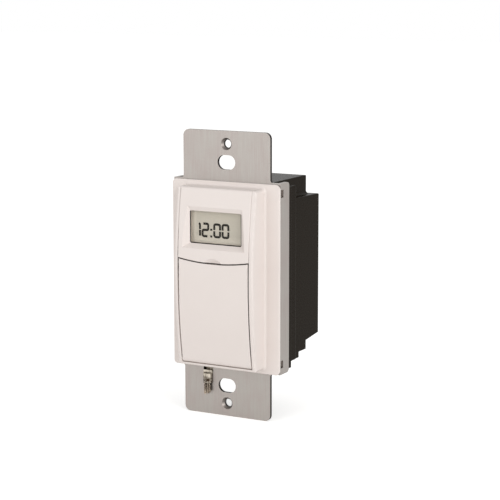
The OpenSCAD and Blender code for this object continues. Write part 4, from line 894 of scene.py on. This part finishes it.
@dataclass
class Keys(SubAssembly):
    """Keys behind the door, with raised marks that need no words."""

    finishes: Finishes = field(default_factory=lambda: {
        Finish.WHITE_ABS: ("key_panel",),
        Finish.GREY_ABS: ("on_off_button", "mode_button", "enter_button", "plus_button", "minus_button",
                          "reset_button", "tact_switches"),
        Finish.BLACK_NYLON: ("on_off_plunger", "mode_plunger", "enter_plunger", "plus_plunger",
                             "minus_plunger", "reset_plunger")})
    marks: dict[Body, str] = field(default_factory=lambda: {
        Body.ON_OFF: "on_off_button", Body.MODE: "mode_button", Body.ENTER: "enter_button",
        Body.PLUS: "plus_button", Body.MINUS: "minus_button"})
    mark_mm: float = 0.45
    mark_depth_mm: float = 0.3
    corner_mm: float = 0.1
    # Half a sign's width, how far the lines and the tick rise from the middle, and the plus's gap beside
    # its bar.
    sign_mm: float = 1.0
    rise_mm: float = 0.8
    gap_mm: float = 0.22
    # Where the tick's foot stands, as a share of half its width.
    tick_foot: float = 0.3
    # The on-off sign: its ring's radius, the first and last angle and the step, and its bar's ends.
    ring_mm: float = 1.3
    ring_deg: tuple[int, int, int] = (125, 410, 15)
    bar_mm: Span = (1.5, 0.2)

    def strokes(self, body: Body, x: float, z: float) -> list[Stroke]:
        """Strokes of one key's mark.

        Args:
            body: the key's body.
            x: the mark's middle, sideways, in millimetres.
            z: the mark's middle, upwards, in millimetres.

        Returns:
            Polylines as X and Z in millimetres.
        """
        s, rise, gap = self.sign_mm, self.rise_mm, self.gap_mm
        if body is Body.PLUS:
            return [[(x - s, z), (x + s, z)], [(x, z + s), (x, z + gap)], [(x, z - gap), (x, z - s)]]
        if body is Body.MINUS:
            return [[(x - s, z), (x + s, z)]]
        if body is Body.MODE:
            return [[(x - s, z + d), (x + s, z + d)] for d in (rise, 0.0, -rise)]
        if body is Body.ENTER:
            return [[(x - s, z), (x - self.tick_foot * s, z - rise), (x + s, z + rise)]]
        first, last, step = self.ring_deg
        turns = [math.radians(angle) for angle in range(first, last + 1, step)]
        ring = [(x + self.ring_mm * math.cos(turn), z + self.ring_mm * math.sin(turn)) for turn in turns]
        return [ring, [(x, z + self.bar_mm[0]), (x, z + self.bar_mm[1])]]

    def build(self) -> None:
        """Makes the raised marks on the fronts of the keys."""
        for body, node in self.marks.items():
            low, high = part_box(node)
            middle = (low + high) / 2 / MM
            lines = polylines(node + "_lines", self.strokes(body, middle.x, middle.z), low.y / MM)
            piece = grown(node.replace("_button", "_mark"), stroke_tree(), lines, {
                "Width": self.mark_mm * MM, "Depth": self.mark_depth_mm * MM, "Corner": self.corner_mm * MM,
                "Finish": Finish.WHITE_ABS.material})
            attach(piece, body.value)


@dataclass
class BackupCell(SubAssembly):
    """Drawer with the coin cell that keeps the clock going."""

    finishes: Finishes = field(default_factory=lambda: {
        Finish.WHITE_ABS: ("battery_drawer",), Finish.BLACK_NYLON: ("battery_holder",),
        Finish.PLATED_STEEL: ("coin_cell",), Finish.BRASS: ("battery_contacts",)})


@dataclass
class Electronics(SubAssembly):
    """Control board, mains board, what is on them, and the divider between them."""

    finishes: Finishes = field(default_factory=lambda: {
        Finish.GREEN_BOARD: ("control_board", "power_board"),
        Finish.BLACK_NYLON: ("microcontroller", "header_base", "divider", "filter_capacitor", "diodes"),
        Finish.PLATED_STEEL: ("crystal",), Finish.BRASS: ("header_pins", "lead_terminals"),
        Finish.FILM_YELLOW: ("film_capacitor", "varistor"), Finish.GREY_ABS: ("relay", "fuse_resistor")})


@dataclass
class Housing(SubAssembly):
    """Dark rear housing with its lead exits and screws."""

    finishes: Finishes = field(default_factory=lambda: {
        Finish.BLACK_RESIN: ("rear_housing",), Finish.GREY_ABS: ("lead_grommets",),
        Finish.PLATED_STEEL: ("housing_screws",)})


@dataclass(frozen=True)
class Lamp:
    """One soft square lamp that looks at the switch."""

    name: str
    place: Point
    side: float
    watts: float

    def build(self, target: Point) -> None:
        """Makes the lamp.

        Args:
            target: the point that it is turned to.
        """
        light = bpy.data.lights.new(self.name, "AREA")
        light.size = self.side
        light.energy = self.watts
        lamp = bpy.data.objects.new(self.name, light)
        lamp.location = self.place
        lamp.rotation_mode = "QUATERNION"
        lamp.rotation_quaternion = (Vector(target) - Vector(self.place)).to_track_quat("-Z", "Y")
        bpy.context.scene.collection.objects.link(lamp)
        LOG.info("%s is lit", self.name)


@dataclass
class Studio:
    """White surround, pale floor, soft lamps and the camera at the photograph's viewing angle."""

    camera_at: Point = (0.30049, -0.53233, 0.11157)
    forward: Point = (-0.47363, 0.86510, -0.16515)
    roll_deg: float = -0.074
    lens_mm: float = 121.5
    sensor_mm: float = 36.0
    ambient: float = 0.62
    floor_tint: str = "#F4F3F1"
    floor_side: float = 6.0
    floor_speck_mm: float = 2.0
    floor_roughness: Span = (0.8, 0.95)
    # How much white the floor adds where it is seen, so that it comes near the surround and keeps its shadow.
    floor_lift: float = 0.5
    target: Point = (0.0, 0.0, 0.0)
    lamps: tuple[Lamp, ...] = (
        Lamp("key_softbox", (1.15, -0.55, 0.40), 0.8, 7.0),
        Lamp("fill_softbox", (-0.40, -1.15, 0.20), 0.9, 3.7))

    def camera(self) -> None:
        """Makes the camera."""
        data = bpy.data.cameras.new("photo_camera")
        data.sensor_width = self.sensor_mm
        data.lens = self.lens_mm
        camera = bpy.data.objects.new("photo_camera", data)
        camera.location = self.camera_at
        camera.rotation_mode = "QUATERNION"
        turn = Quaternion((0.0, 0.0, 1.0), math.radians(self.roll_deg))
        camera.rotation_quaternion = Vector(self.forward).to_track_quat("-Z", "Y") @ turn
        bpy.context.scene.collection.objects.link(camera)
        bpy.context.scene.camera = camera

    def seen(self, tree: bpy.types.NodeTree) -> bpy.types.NodeSocket:
        """Adds the test for rays that see the studio: from the camera, a mirror or a clear piece.

        Args:
            tree: the tree that takes the test.

        Returns:
            A socket that is one for such rays and nought for those that only carry light.
        """
        rays = add(tree, "ShaderNodeLightPath")
        two = add(tree, "ShaderNodeMath", {
            0: rays.outputs["Is Camera Ray"], 1: rays.outputs["Is Glossy Ray"]}, operation="MAXIMUM")
        three = add(tree, "ShaderNodeMath", {
            0: two.outputs[0], 1: rays.outputs["Is Transmission Ray"]}, operation="MAXIMUM")
        return three.outputs[0]

    def surround(self) -> None:
        """Makes the white surround."""
        world = bpy.data.worlds.new("white_surround")
        world.use_nodes = True
        tree = world.node_tree
        tree.nodes.clear()
        lit = add(tree, "ShaderNodeBackground", {"Color": linear(WHITE), "Strength": self.ambient})
        white = add(tree, "ShaderNodeBackground", {"Color": linear(WHITE), "Strength": 1.0})
        mix = add(tree, "ShaderNodeMixShader", {0: self.seen(tree), 1: lit.outputs[0], 2: white.outputs[0]})
        add(tree, "ShaderNodeOutputWorld", {"Surface": mix.outputs[0]})
        bpy.context.scene.world = world

    def floor(self) -> None:
        """Makes the pale floor under the switch, which keeps its shadow."""
        half = self.floor_side / 2
        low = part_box("yoke")[0].z
        mesh = bpy.data.meshes.new("pale_floor")
        mesh.from_pydata([(-half, -half, low), (half, -half, low), (half, half, low), (-half, half, low)], [],
                         [(0, 1, 2, 3)])
        material, tree, spot = blank_material("pale_studio_floor")
        speck = add(tree, "ShaderNodeTexNoise", {"Vector": spot, "Scale": per_mm(self.floor_speck_mm)})
        rough = add(tree, "ShaderNodeMapRange", {
            "Value": speck.outputs[0], "To Min": self.floor_roughness[0], "To Max": self.floor_roughness[1]})
        matt = add(tree, "ShaderNodeBsdfPrincipled", {
            "Base Color": linear(self.floor_tint), "Roughness": rough.outputs[0], "Specular IOR Level": 0.0})
        lift = add(tree, "ShaderNodeMath", {0: self.seen(tree), 1: self.floor_lift}, operation="MULTIPLY")
        glow = add(tree, "ShaderNodeEmission", {"Color": linear(WHITE), "Strength": lift.outputs[0]})
        close_material(tree, add(tree, "ShaderNodeAddShader", {0: matt.outputs[0], 1: glow.outputs[0]}))
        mesh.materials.append(material)
        floor = bpy.data.objects.new("pale_floor", mesh)
        bpy.context.scene.collection.objects.link(floor)

    def build(self) -> None:
        """Makes camera, surround, floor and lamps."""
        bpy.context.scene.view_settings.view_transform = "Standard"
        self.camera()
        self.surround()
        self.floor()
        for lamp in self.lamps:
            lamp.build(self.target)


def main() -> None:
    """Builds the studio and every sub-assembly."""
    logging.basicConfig(level=logging.INFO, format="%(name)s: %(message)s")
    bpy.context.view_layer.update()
    Studio().build()
    for group in (Strap(), Face(), Display(), Keys(), BackupCell(), Electronics(), Housing()):
        group.build()
        group.dress()


if __name__ == "__main__":
    main()
